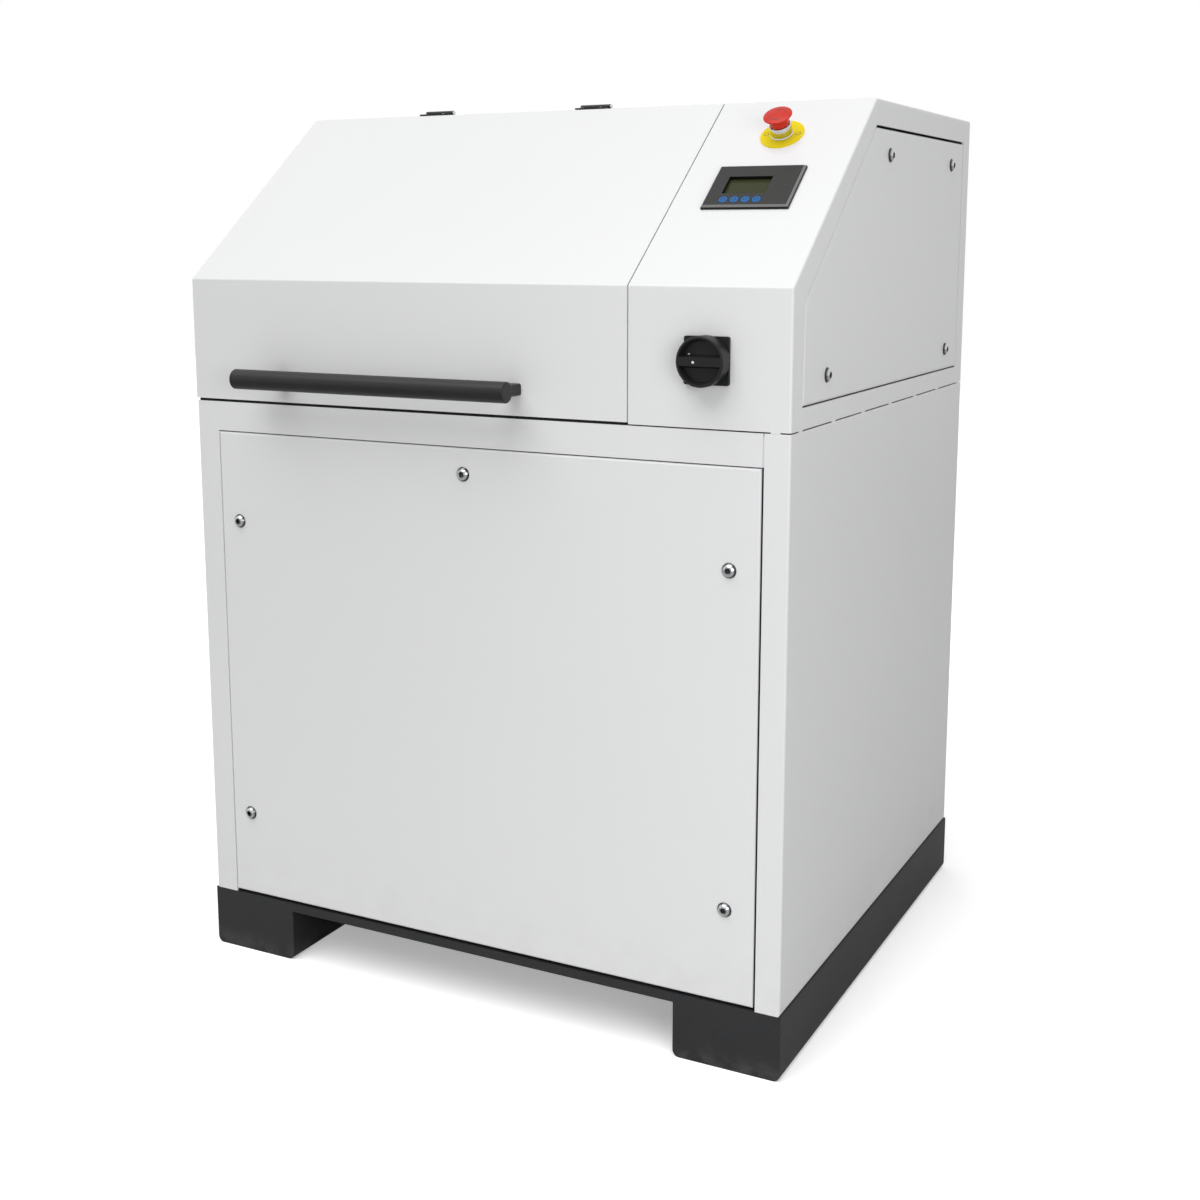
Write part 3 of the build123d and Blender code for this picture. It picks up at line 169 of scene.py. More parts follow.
turn = math.radians(27.07)
tilt = math.radians(9.555)
camera_data = bpy.data.cameras.new("camera")
camera_data.lens = 47.57
camera_data.sensor_width = 36.0
camera_data.shift_y = -0.08
camera = bpy.data.objects.new("camera", camera_data)
camera.location = (1.1179, -2.1926, 1.0772)
level = math.cos(tilt)
sight = Vector((-math.sin(turn) * level, math.cos(turn) * level, -math.sin(tilt)))
camera.rotation_mode = "QUATERNION"
camera.rotation_quaternion = sight.to_track_quat("-Z", "Y")
bpy.context.collection.objects.link(camera)
bpy.context.scene.camera = camera
bpy.context.scene.view_settings.view_transform = "Standard"

# Plinth
# Two folded steel runners with a flat plate across them, welded, in coarse dark powder coat. The
# coat is dusty and scuffed where the runners meet the floor.


class Surface:
    """A material with one principled shader, and the values its pattern is made from."""

    def __init__(self, name, **constants):
        self.material = bpy.data.materials.new(name)
        self.material.use_nodes = True
        self.tree = self.material.node_tree
        self.shader = self.tree.nodes["Principled BSDF"]
        self.place = self.add("ShaderNodeTexCoord", output="Object")
        self.heights = None
        self.set(**constants)

    def add(self, kind, settings=None, sockets=None, output=0):
        return Signal.node(self.tree, kind, settings, sockets, output)

    def set(self, **values):
        for name, value in values.items():
            target = self.shader.inputs[name.replace("_", " ").title().replace("Ior", "IOR")]
            if isinstance(value, Signal):
                value.feed(target)
            else:
                target.default_value = value

    def noise(self, size, detail=2.0, roughness=0.5, place=None):
        """Soft random patches of about this size in metres, from 0 to 1."""
        sockets = {"Vector": place or self.place, "Scale": 1.0 / size}
        sockets.update({"Detail": detail, "Roughness": roughness})
        return self.add("ShaderNodeTexNoise", sockets=sockets)

    def cells(self, size, output="Distance"):
        sockets = {"Vector": self.place, "Scale": 1.0 / size}
        return self.add("ShaderNodeTexVoronoi", sockets=sockets, output=output)

    def axes(self, place=None):
        parts = self.add("ShaderNodeSeparateXYZ", sockets={"Vector": place or self.place})
        return [Signal(socket) for socket in parts.socket.node.outputs]

    def stretched(self, x, y, z):
        """The place with each axis multiplied, so that a pattern comes out drawn out."""
        sockets = {"Vector": self.place, "Scale": (x, y, z)}
        return self.add("ShaderNodeMapping", sockets=sockets)

    def emboss(self, height, depth):
        """Makes the surface rise by up to this depth in metres where the height is 1."""
        sockets = {"Height": height, "Distance": depth, "Strength": 1.0}
        if self.heights:
            sockets["Normal"] = self.heights
        self.heights = self.add("ShaderNodeBump", sockets=sockets)
        self.set(normal=self.heights)


def dress(surface, *names):
    """Gives CAD nodes this surface in every slot that they have."""
    for name in names:
        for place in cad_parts[name].material_slots:
            place.material = surface.material


def dark_powder_coat():
    coat = Surface("plinth_coat", metallic=0.0, specular_ior_level=0.35)
    grain = coat.noise(0.0016, 3.0)
    clouds = coat.noise(0.09, 3.0)
    height = coat.axes()[2]
    dust = height.ramp(0.035, 0.0, 0.0, 0.55) * coat.noise(0.03, 4.0, 0.6).ramp(0.4, 0.7)
    plain = blend_colours(clouds, (0.018, 0.0185, 0.020, 1), (0.025, 0.0255, 0.027, 1))
    coat.set(base_color=blend_colours(dust, plain, (0.085, 0.082, 0.077, 1)))
    coat.set(roughness=clouds * 0.12 + 0.46 + dust * 0.25)
    coat.emboss(grain, 0.00022)
    return coat


dress(dark_powder_coat(), "base_frame")

# Casing
# Folded steel sheets in smooth white powder coat with a faint orange peel: the side walls and the
# rail under the deck, the removable front and rear panels, the console, the rear hood and the lid.
# Inside the lower cabinet and behind the console's panel, painted shade makes the coat near black.
front, rear, right_side = -0.400, 0.400, 0.460
slope_foot, slope_top, slope_depth = 1.018, 1.260, 0.305
slope_rise = math.atan2(slope_top - slope_foot, slope_depth)
rise_cosine, rise_sine = math.cos(slope_rise), math.sin(slope_rise)


def slope_axes(coat):
    """A place as seen from the foot of the slope: to the right, up along it and out of it."""
    x, y, z = coat.axes()
    along = (y - front) * rise_cosine + (z - slope_foot) * rise_sine
    out = (z - slope_foot) * rise_cosine - (y - front) * rise_sine
    return x, along, out


def white_powder_coat():
    coat = Surface("casing_coat", metallic=0.0)
    peel = coat.noise(0.0013, 2.0)
    ripple = coat.noise(0.02, 1.0)
    clouds = coat.noise(0.45, 2.0)
    x, y, z = coat.axes()
    dust = z.ramp(0.22, 0.09) * coat.noise(0.05, 4.0, 0.6).ramp(0.3, 0.8) * 0.25
    plain = blend_colours(clouds, (0.845, 0.850, 0.856, 1), (0.870, 0.874, 0.878, 1))
    outside = blend_colours(dust, plain, (0.70, 0.69, 0.67, 1))
    # Painted shade: the inner faces of the cabinet and of the console behind its panel are near
    # black.
    shade_inset, blur = 0.003, 0.0005
    deck_height, console_left, console_floor, console_roof = 0.840, 0.2435, 0.845, 1.257
    inner_side, inner_rear = right_side - shade_inset, rear - shade_inset
    within = x.math("ABSOLUTE").ramp(inner_side, inner_side - blur)
    within *= y.math("ABSOLUTE").ramp(inner_rear, inner_rear - blur)
    cabinet = z.ramp(deck_height + blur, deck_height)
    console = x.ramp(console_left, console_left + blur)
    console *= z.ramp(console_floor, console_floor + blur)
    console *= z.ramp(console_roof, console_roof - blur)
    console *= slope_axes(coat)[2].ramp(-shade_inset, -shade_inset - blur)
    painted_inner_shade = within * cabinet.math("MAXIMUM", console)
    coat.set(base_color=blend_colours(painted_inner_shade, outside, (0.045, 0.045, 0.047, 1)))
    coat.set(roughness=clouds * 0.05 + coat.noise(0.004, 2.0) * 0.06 + 0.36)
    coat.emboss(peel, 0.00005)
    coat.emboss(ripple, 0.00005)
    return coat


casing = (
    "side_wall_left", "side_wall_right", "front_rail", "front_panel", "rear_panel",
    "console_housing", "console_side_panel", "rear_hood", "lid_hood",
)
dress(white_powder_coat(), *casing)

# Panel screws
# Domed steel heads with a hexagon socket, chromed and fully polished: five in the front panel,
# four in the console's side panel and four at the rear, each left at its own angle. Painted shade
# darkens the outer dome and the socket of each head.


def chromed_steel(name, bright, shaded):
    """Chrome that goes over to a painted shade colour where the piece's own shade attribute says
    so.
    """
    chrome = Surface(name, metallic=1.0)
    # Painted shade: the shade attribute turns the chrome towards the dark shaded colour.
    painted_shade = chrome.add("ShaderNodeAttribute", {"attribute_name": "shade"}, output="Fac")
    chrome.set(base_color=blend_colours(painted_shade, bright, shaded))
    chrome.set(roughness=chrome.noise(0.006, 3.0) * 0.10 + 0.07)
    chrome.emboss(chrome.noise(0.0011, 2.0), 0.00001)
    return chrome


def ring_of(shape, radius, height, steps, sides=0):
    """Adds one ring of points: a circle, or a polygon with this many sides and corner radius."""
    points = []
    for step in range(steps):
        angle = 2 * math.pi * step / steps
        reach = radius
        if sides:
            half = math.pi / sides
            reach = radius * math.cos(half) / math.cos(angle % (2 * half) - half)
        points.append(shape.verts.new((reach * math.cos(angle), reach * math.sin(angle), height)))
    return points


def skin(shape, rings):
    """Joins rings one after another. A ring of one point closes the shape there."""
    for lower, upper in zip(rings, rings[1:]):
        steps = max(len(lower), len(upper))
        for step in range(steps):
            corners = [lower[step % len(lower)], lower[(step + 1) % len(lower)]]
            corners += [upper[(step + 1) % len(upper)], upper[step % len(upper)]]
            shape.faces.new(list(dict.fromkeys(corners)))
    bmesh.ops.recalc_face_normals(shape, faces=shape.faces)


def turned(profile, place, steps=64):
    """A turned shape from radii and heights in metres, spun about the z axis of its place."""
    shape = bmesh.new()
    rings = []
    for radius, height in profile:
        if radius:
            rings.append(ring_of(shape, radius, height, steps))
        else:
            rings.append([shape.verts.new((0, 0, height))])
    skin(shape, rings)
    shape.transform(place)
    return shape


def piece(name, shape, surface, body, stands_for=(), crease=0.6):
    """Makes a finished piece that rides on a body, and lets it stand for CAD nodes."""
    mesh = bpy.data.meshes.new(name)
    if isinstance(shape, bmesh.types.BMesh):
        shape.to_mesh(mesh)
        shape.free()
    else:
        mesh = shape
    mesh.materials.clear()
    mesh.materials.append(surface.material)
    mesh.shade_smooth()
    mesh.set_sharp_from_angle(angle=crease)
    made = bpy.data.objects.new(name, mesh)
    bpy.context.collection.objects.link(made)
    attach(made, body)
    if stands_for:
        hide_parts(*stands_for)
    return made


def facing(x, y, z, direction):
    """The matrix that sets a shape at a place with its z axis in this direction."""
    turned_to = Vector(direction).to_track_quat("Z", "Y").to_matrix().to_4x4()
    return Matrix.Translation((x, y, z)) @ turned_to


def set_out_tree():
    """Sets one part on every point of a mesh, along each point's own direction and at any turn."""
    tree = bpy.data.node_groups.new("set_out", "GeometryNodeTree")
    face = tree.interface
    face.new_socket("Points", in_out="INPUT", socket_type="NodeSocketGeometry")
    face.new_socket("Part", in_out="INPUT", socket_type="NodeSocketObject")
    face.new_socket("Size", in_out="INPUT", socket_type="NodeSocketFloat")
    face.new_socket("Most Turn", in_out="INPUT", socket_type="NodeSocketFloat")
    face.new_socket("Seed", in_out="INPUT", socket_type="NodeSocketInt")
    face.new_socket("Finish", in_out="INPUT", socket_type="NodeSocketMaterial")
    face.new_socket("Result", in_out="OUTPUT", socket_type="NodeSocketGeometry")
    given = tree.nodes.new("NodeGroupInput").outputs
    wanted = {socket.name: Signal(socket) for socket in given if socket.name}

    def add(kind, settings=None, sockets=None, output=0):
        return Signal.node(tree, kind, settings, sockets, output)

    part = add("GeometryNodeObjectInfo", None, {"Object": wanted["Part"]}, "Geometry")
    attribute = {"data_type": "FLOAT_VECTOR"}
    way = add("GeometryNodeInputNamedAttribute", attribute, {"Name": "direction"})
    upright = add("FunctionNodeAlignRotationToVector", {"axis": "Z"}, {"Vector": way})
    limits = {"Min": 0.0, "Max": wanted["Most Turn"], "Seed": wanted["Seed"]}
    any_turn = add("FunctionNodeRandomValue", {"data_type": "FLOAT"}, limits, "Value")
    about = {"Axis": (0, 0, 1), "Angle": any_turn}
    spun = add("FunctionNodeAxisAngleToRotation", None, about)
    turns = {"Rotation": upright, "Rotate By": spun}
    both = add("FunctionNodeRotateRotation", {"rotation_space": "LOCAL"}, turns)
    size = add("ShaderNodeCombineXYZ", None, dict.fromkeys("XYZ", wanted["Size"]))
    set_up = {"Points": wanted["Points"], "Instance": part, "Rotation": both, "Scale": size}
    copies = add("GeometryNodeInstanceOnPoints", None, set_up)
    whole = add("GeometryNodeRealizeInstances", None, {"Geometry": copies})
    finish = {"Geometry": whole, "Material": wanted["Finish"]}
    dressed = add("GeometryNodeSetMaterial", None, finish)
    dressed.feed(tree.nodes.new("NodeGroupOutput").inputs["Result"])
    return tree


set_out = set_out_tree()


def repeat(name, shape, places, surface, most_turn=0.0, size=1.0, seed=1):
    """One mesh with the shape at each (place, direction), made by the set-out tree."""
    part_mesh = bpy.data.meshes.new(name + "_part")
    shape.to_mesh(part_mesh)
    shape.free()
    part = bpy.data.objects.new(name + "_part", part_mesh)
    points = bpy.data.meshes.new(name + "_points")
    points.from_pydata([place for place, way in places], [], [])
    directions = points.attributes.new("direction", "FLOAT_VECTOR", "POINT")
    for item, (place, way) in zip(directions.data, places):
        item.vector = way
    host = bpy.data.objects.new(name + "_points", points)
    bpy.context.collection.objects.link(host)
    maker = host.modifiers.new("set_out", "NODES")
    maker.node_group = set_out
    values = {"Part": part, "Size": size, "Most Turn": most_turn, "Seed": seed}
    values["Finish"] = surface.material
    for socket in set_out.interface.items_tree:
        if socket.in_out == "INPUT" and socket.name in values:
            maker[socket.identifier] = values[socket.name]
    host.update_tag()
    graph = bpy.context.evaluated_depsgraph_get()
    mesh = bpy.data.meshes.new_from_object(host.evaluated_get(graph), depsgraph=graph)
    bpy.data.objects.remove(host)
    bpy.data.objects.remove(part)
    return mesh


def domed_screw(radius=0.010, height=0.006, socket=0.004, shank=0.004, length=0.022, steps=24):
    """A button head screw along z with a hexagon socket, its underside at the origin."""
    dome = (radius**2 + height**2) / (2 * height)
    shape = bmesh.new()
    shade = shape.verts.layers.float.new("shade")
    rings = [[shape.verts.new((0, 0, -length))], ring_of(shape, shank, -length, steps)]
    rings += [ring_of(shape, shank, 0, steps), ring_of(shape, radius * 0.97, 0, steps)]
    for share in (1.0, 0.93, 0.83, 0.72, 0.60, 0.52):
        reach = radius * share
        top = math.sqrt(dome**2 - reach**2) - dome + height
        rings.append(ring_of(shape, reach, max(top, height * 0.05), steps))
    mouth = math.sqrt(dome**2 - socket**2) - dome + height
    rings.append(ring_of(shape, socket * 1.08, mouth, steps, 6))
    rings.append(ring_of(shape, socket, mouth - height * 0.05, steps, 6))
    rings.append(ring_of(shape, socket, height * 0.40, steps, 6))
    rings.append([shape.verts.new((0, 0, height * 0.27))])
    # Painted shade on each ring: dark under the rim, on the outer dome and in the socket, bright
    # mid-dome.
    painted_shade_levels = [0, 0, 0, 1, 1, 1, 0.8, 0.15, 0, 0.3, 0.55, 1, 1, 1]
    for ring, share in zip(rings, painted_shade_levels, strict=True):
        for point in ring:
            point[shade] = share
    skin(shape, rings)
    return shape


front_screws = [(-0.389, 0.668), (-0.005, 0.763), (0.382, 0.668), (-0.389, 0.221), (0.382, 0.221)]
rear_screws = [(-0.389, 0.221), (-0.389, 0.668), (0.382, 0.221), (0.382, 0.668)]
side_screws = [(-0.029, 1.188), (0.292, 1.187), (-0.273, 0.905), (0.290, 0.903)]
screw_places = [((x, front, z), (0, -1, 0)) for x, z in front_screws]
screw_places += [((x, rear, z), (0, 1, 0)) for x, z in rear_screws]
screw_places += [((right_side, y, z), (1, 0, 0)) for y, z in side_screws]
# The second colour is the painted shade of the screw heads.
chrome = chromed_steel("bright_chrome", (0.60, 0.61, 0.62, 1), (0.045, 0.045, 0.047, 1))
any_way = 6.2
screws = repeat("panel_screw_heads", domed_screw(), screw_places, chrome, any_way, seed=4)
piece("panel_screw_heads", screws, chrome, "cabinet", ["panel_screws"])

# Deck, motor stand and spring carrier
# Thick sheet and welded angles inside the casing, hot-dip galvanised: the zinc shows as dull
# flakes of different greys.


def galvanised_steel():
    zinc = Surface("zinc_flakes", metallic=1.0)
    flake = zinc.cells(0.013, "Color")
    shade = zinc.axes(flake)[0]
    bloom = zinc.noise(0.004, 3.0)
    plain = blend_colours(shade, (0.44, 0.45, 0.46, 1), (0.62, 0.63, 0.64, 1))
    zinc.set(base_color=blend_colours(bloom * 0.4, plain, (0.50, 0.51, 0.52, 1)))
    zinc.set(roughness=shade * 0.18 + bloom * 0.08 + 0.30)
    zinc.emboss(bloom, 0.00004)
    return zinc


dress(galvanised_steel(), "deck_plate", "motor_stand", "spring_carrier")

# Motor
# A cast aluminium housing with cooling ribs and a moulded fan cowl, hung under the stand's top
# plate. Its rotor, with the shaft and the fan, is bare steel.


def painted_casting(name, dark, light, grain=0.0022, roughness=0.5):
    """Paint over a sand casting: the mould's grain shows through."""
    paint = Surface(name, metallic=0.0)
    clouds = paint.noise(0.05, 3.0)
    paint.set(base_color=blend_colours(clouds, dark, light))
    paint.set(roughness=clouds * 0.12 + roughness)
    paint.emboss(paint.noise(grain, 3.0, 0.6), 0.00025)
    paint.emboss(paint.noise(0.012, 2.0), 0.0003)
    return paint


def moulded_plastic(name, dark, light, roughness=0.42, grain=0.0005, depth=0.00003, shine=0.5):
    """Plastic from a textured mould, a little uneven in shade and in gloss."""
    plastic = Surface(name, metallic=0.0, specular_ior_level=shine)
    clouds = plastic.noise(0.025, 2.0)
    plastic.set(base_color=blend_colours(clouds, dark, light))
    plastic.set(roughness=clouds * 0.08 + roughness)
    plastic.emboss(plastic.noise(grain, 2.0), depth)
    return plastic


def turned_steel(name, across, centre, dark, light, roughness=0.26):
    """Bare steel with the fine rings that turning leaves. Across gives the two axes in which the
    rings lie, 0 for x, 1 for y and 2 for z, and centre is their middle on these axes."""
    steel = Surface(name, metallic=1.0)
    axes = steel.axes()
    first = axes[across[0]] - centre[0]
    second = axes[across[1]] - centre[1]
    radius = (first * first + second * second).math("SQRT")
    ring = steel.add("ShaderNodeCombineXYZ", sockets={0: radius, 1: axes[3 - sum(across)], 2: 0.0})
    marks = steel.noise(0.0007, 3.0, 0.7, ring)
    stains = steel.noise(0.04, 3.0)
    steel.set(base_color=blend_colours(stains, dark, light))
    steel.set(roughness=marks * 0.14 + stains * 0.06 + roughness)
    steel.emboss(marks, 0.00003)
    return steel


mill_x, mill_y = -0.110, -0.055
pin_x = mill_x + 0.003
steel_dark, steel_light = (0.50, 0.50, 0.50, 1), (0.64, 0.63, 0.62, 1)
drive_steel = turned_steel("drive_steel", (0, 1), (mill_x, mill_y), steel_dark, steel_light)
motor_paint = painted_casting("motor_paint", (0.30, 0.32, 0.34, 1), (0.36, 0.38, 0.40, 1))
black_mould = moulded_plastic(
    "black_mould", (0.009, 0.009, 0.010, 1), (0.013, 0.013, 0.014, 1), shine=0.25,
)
dress(motor_paint, "motor_housing")
dress(black_mould, "motor_cowl")
dress(drive_steel, "motor_rotor", "shaft_coupling")

# Drive
# A grey iron lantern holds the eccentric shaft in two ball bearings. The shaft carries a half
# disc of cast iron that balances the table.


def ground_steel(name, dark, light, roughness=0.20):
    """Hardened steel from a surface grinder, with short straight scratches."""
    steel = Surface(name, metallic=1.0)
    scratches = steel.noise(0.0009, 4.0, 0.7, steel.stretched(0.05, 1.0, 1.0))
    stains = steel.noise(0.03, 3.0)
    steel.set(base_color=blend_colours(stains, dark, light))
    steel.set(roughness=scratches * 0.16 + stains * 0.06 + roughness)
    steel.emboss(scratches, 0.00002)
    return steel


iron_dark, iron_light = (0.055, 0.075, 0.095, 1), (0.075, 0.095, 0.115, 1)
bearing_dark, bearing_light = (0.52, 0.53, 0.55, 1), (0.66, 0.67, 0.68, 1)
iron_paint = painted_casting(
    "iron_paint", iron_dark, iron_light, grain=0.003, roughness=0.45,
)
bearing_steel = ground_steel("bearing_steel", bearing_dark, bearing_light, roughness=0.14)
dress(iron_paint, "drive_lantern", "counterweight")
dress(bearing_steel, "lantern_bearings", "table_bearings")
dress(drive_steel, "eccentric_shaft")

# Vibrating table
# A turned steel disc on the eccentric pin, held from turning by eight coil springs of oiled
# spring wire that stand on the carrier.


def spring_wire():
    wire = Surface("oiled_wire", metallic=1.0)
    blotches = wire.noise(0.008, 3.0)
    wire.set(base_color=blend_colours(blotches, (0.10, 0.10, 0.11, 1), (0.22, 0.22, 0.23, 1)))
    wire.set(roughness=blotches * 0.2 + 0.25)
    wire.emboss(wire.noise(0.0006, 2.0), 0.00002)
    return wire


table_steel = turned_steel(
    "table_steel", (0, 1), (pin_x, mill_y), steel_dark, steel_light, roughness=0.30,
)
dress(table_steel, "vibrating_table")
dress(spring_wire(), "support_springs")

# Grinding jar
# Jar, lid, ring and disc of hardened chrome steel: turned outside, ground where they grind, and
# dulled by the powder inside.
jar_steel = turned_steel(
    "jar_steel", (0, 1), (pin_x, mill_y), (0.46, 0.46, 0.47, 1), (0.60, 0.60, 0.61, 1),
    roughness=0.18,
)
grinding_steel = ground_steel(
    "grinding_steel", (0.42, 0.42, 0.43, 1), (0.56, 0.56, 0.57, 1), roughness=0.24,
)
dress(jar_steel, "jar_base", "jar_lid")
dress(grinding_steel, "grinding_ring", "grinding_disc")

# Clamp
# Two steel posts on the table and a swing bar that hooks on them. A spindle in the bar presses a
# pad on the jar's lid, turned by a handwheel of black moulded plastic.
dress(table_steel, "clamp_posts", "clamp_pad")


def threaded_spindle():
    """The spindle with its foot, a screw thread along its shank and a plain end for the wheel."""
    crest, root, pitch, steps = 0.010, 0.0086, 0.004, 36
    foot_radius, foot_low, foot_high, foot_edge = 0.012, 0.96825, 0.974, 0.0003
    low, high, top, runout, top_edge = 0.976, 1.033, 1.058, 0.0004, 0.0005
    levels_per_turn = 8
    shape = bmesh.new()
    foot = [(foot_radius - foot_edge, foot_low), (foot_radius, foot_low + foot_edge)]
    foot += [(foot_radius, foot_high), (root, foot_high)]
    plain_end = [(crest, high + runout), (crest, top - top_edge), (crest - top_edge, top)]
    rings = [[shape.verts.new((0, 0, foot_low))]]
    rings += [ring_of(shape, radius, height, steps) for radius, height in foot]
    levels = round((high - low) / pitch * levels_per_turn)
    for level in range(levels + 1):
        height = low + (high - low) * level / levels
        ring = []
        for step in range(steps):
            flank = abs(2 * ((height / pitch - step / steps) % 1.0) - 1)
            radius = root + (crest - root) * min(max(1.6 * flank - 0.3, 0.0), 1.0)
            angle = 2 * math.pi * step / steps
            spot = (radius * math.cos(angle), radius * math.sin(angle), height)
            ring.append(shape.verts.new(spot))
        rings.append(ring)
    rings += [ring_of(shape, radius, height, steps) for radius, height in plain_end]
    rings.append([shape.verts.new((0, 0, top))])
    skin(shape, rings)
    shape.transform(Matrix.Translation((pin_x, mill_y, 0)))
    return shape


piece(
    "clamp_spindle_thread", threaded_spindle(), table_steel, "clamp_screw",
    ["clamp_spindle"], 0.9,
)
dress(ground_steel("clamp_steel", steel_dark, steel_light, roughness=0.26), "clamp_bar")
dress(black_mould, "clamp_handwheel")

# Sound lining and seal
# Open-pored dark foam glued into the lid and the rear hood, and a rubber strip on the deck under
# the lid's edge.


def open_foam():
    foam = Surface("open_foam", metallic=0.0)
    pores = foam.cells(0.0017)
    clouds = foam.noise(0.03, 3.0)
    plain = blend_colours(clouds, (0.030, 0.030, 0.032, 1), (0.050, 0.050, 0.053, 1))
    foam.set(base_color=blend_colours(pores.ramp(0.35, 0.0), plain, (0.012, 0.012, 0.013, 1)))
    foam.set(roughness=clouds * 0.1 + 0.85)
    foam.emboss(pores, 0.0006)
    return foam


def soft_rubber():
    rubber = Surface("soft_rubber", metallic=0.0, specular_ior_level=0.2)
    dust = rubber.noise(0.006, 4.0)
    rubber.set(base_color=blend_colours(dust, (0.006, 0.006, 0.006, 1), (0.014, 0.014, 0.0135, 1)))
    rubber.set(roughness=dust * 0.2 + 0.55)
    rubber.emboss(rubber.noise(0.0008, 2.0), 0.00004)
    return rubber


foam = open_foam()
foam_pitch, foam_base, foam_height = 0.024, 0.008, 0.012
sheet = 0.0015


def foam_pyramid():
    """One blunt pyramid of foam, its base at the origin."""
    shape = bmesh.new()
    base_half, tip_half, root, blunting = 0.0119, 0.0014, -0.0005, 0.0004
    rings = [[shape.verts.new((0, 0, root))]]
    levels = ((base_half, root), (base_half, 0.0), (tip_half, foam_height - blunting))
    for half, height in levels:
        corners = ((half, half), (-half, half), (-half, -half), (half, -half))
        rings.append([shape.verts.new((x, y, height)) for x, y in corners])
    rings.append([shape.verts.new((0, 0, foam_height))])
    skin(shape, rings)
    return shape


def joined(*shapes):
    """One shape from several."""
    whole = bmesh.new()
    for shape in shapes:
        part = bpy.data.meshes.new("part")
        shape.to_mesh(part)
        shape.free()
        whole.from_mesh(part)
        bpy.data.meshes.remove(part)
    return whole


def foam_run(start, along, inward, length, first=0.0, last=0.0):
    """One flat stretch of lining: its start on the skin, its direction and its inward direction
    in the side view, its length, and between which places along it the pyramids lie."""
    return Vector((0, *start)), Vector((0, *along)), Vector((0, *inward)), length, first, last


def foam_lining(name, body, node, near, far, runs):
    """A lining of several runs, from x = near to x = far."""
    places = []
    slabs = []
    for start, along, inward, length, first, last in runs:
        centre = start + along * (length / 2) + inward * (foam_base / 2)
        centre.x = (near + far) / 2
        shape = bmesh.new()
        bmesh.ops.create_cube(shape, size=1.0)
        shape.transform(Matrix.Diagonal((far - near, length, foam_base, 1)))
        axes = Matrix((Vector((1, 0, 0)), along, inward)).transposed().to_4x4()
        shape.transform(Matrix.Translation(centre) @ axes)
        bmesh.ops.recalc_face_normals(shape, faces=shape.faces)
        slabs.append(shape)
        columns = int((far - near) / foam_pitch)
        rows = int((last - first) / foam_pitch)
        for column in range(columns):
            x = (near + far) / 2 + (column - (columns - 1) / 2) * foam_pitch
            for row in range(rows):
                share = (first + last) / 2 + (row - (rows - 1) / 2) * foam_pitch
                place = start + along * share + inward * foam_base
                places.append(((x, place.y, place.z), tuple(inward)))
    field = repeat(name + "_field", foam_pyramid(), places, foam)
    whole = joined(*slabs)
    whole.from_mesh(field)
    bpy.data.meshes.remove(field)
    piece(name, whole, foam, body, [node], 0.3)


skin_gap = 0.0008
slope_start = (
    front + skin_gap * rise_cosine + sheet * rise_sine,
    slope_foot + skin_gap * rise_sine - sheet * rise_cosine,
)
front_run = foam_run((front + sheet, 0.858), (0, 1), (1, 0), length=0.1592, last=0.1552)
slope_run = foam_run(
    slope_start, (rise_cosine, rise_sine), (rise_sine, -rise_cosine),
    length=0.3539, first=0.0042, last=0.3539,
)
roof_run = foam_run((-0.066, slope_top - sheet), (1, 0), (0, -1), length=0.4645, last=0.4400)
rear_run = foam_run((rear - sheet, 0.862), (0, 1), (-1, 0), length=0.3965, last=0.3885)
foam_lining("lid_foam", "lid", "lid_lining", -0.425, 0.205, [front_run, slope_run])
foam_lining("hood_foam", "cabinet", "hood_lining", -0.455, 0.2365, [roof_run, rear_run])
dress(soft_rubber(), "lid_seal")

# Hinges
# Two steel hinges in satin black on the top of the machine, just behind the slope: a rolled leaf
# screwed on the lid, one on the hood, and a bright pin.


def satin_black():
    black = Surface("satin_black", metallic=0.0, specular_ior_level=0.3)
    wear = black.noise(0.012, 4.0)
    black.set(base_color=blend_colours(wear, (0.011, 0.011, 0.012, 1), (0.018, 0.018, 0.019, 1)))
    black.set(roughness=wear * 0.12 + 0.34)
    black.emboss(black.noise(0.0009, 2.0), 0.00003)
    return black


black_coat = satin_black()
pin_steel = ground_steel("pin_steel", steel_dark, steel_light)
dress(black_coat, "hinge_leaves_fixed", "hinge_leaves_lid")
dress(pin_steel, "hinge_pins")
hinge_middles, screw_spread, leaf_y, leaf_top = (-0.241, 0.0285), 0.015, -0.0885, 1.2624
leaf_screw_places = [
    ((middle + way * screw_spread, leaf_y, leaf_top), (0, 0, 1))
    for middle in hinge_middles for way in (-1, 1)
]
# The leaf screws carry the same painted shade on the outer dome and in the socket as the panel
# screws.
leaf_screw = domed_screw(
    radius=0.0028, height=0.0011, socket=0.0013, shank=0.0012, length=0.003, steps=18,
)
leaf_screws = repeat("hinge_leaf_screws", leaf_screw, leaf_screw_places, chrome, any_way, seed=9)
piece("hinge_leaf_screws", leaf_screws, chrome, "lid")

# Lid handle
# A thick round bar of black coated steel with flat ends, on two short square brackets screwed to
# the lid from inside.
dress(black_coat, "lid_handle_bar", "lid_handle_brackets")

# Gas springs
# Two black cylinders with chromed rods, one at each side of the lid, on turned studs.
dress(black_coat, "gas_spring_cylinders")
dress(chrome, "gas_spring_rods")
dress(pin_steel, "gas_studs_fixed", "gas_studs_lid")

# Operating panel
# A frame of grey moulded plastic let into the slope, with a sunken olive screen behind a clear
# window and four round blue keys.


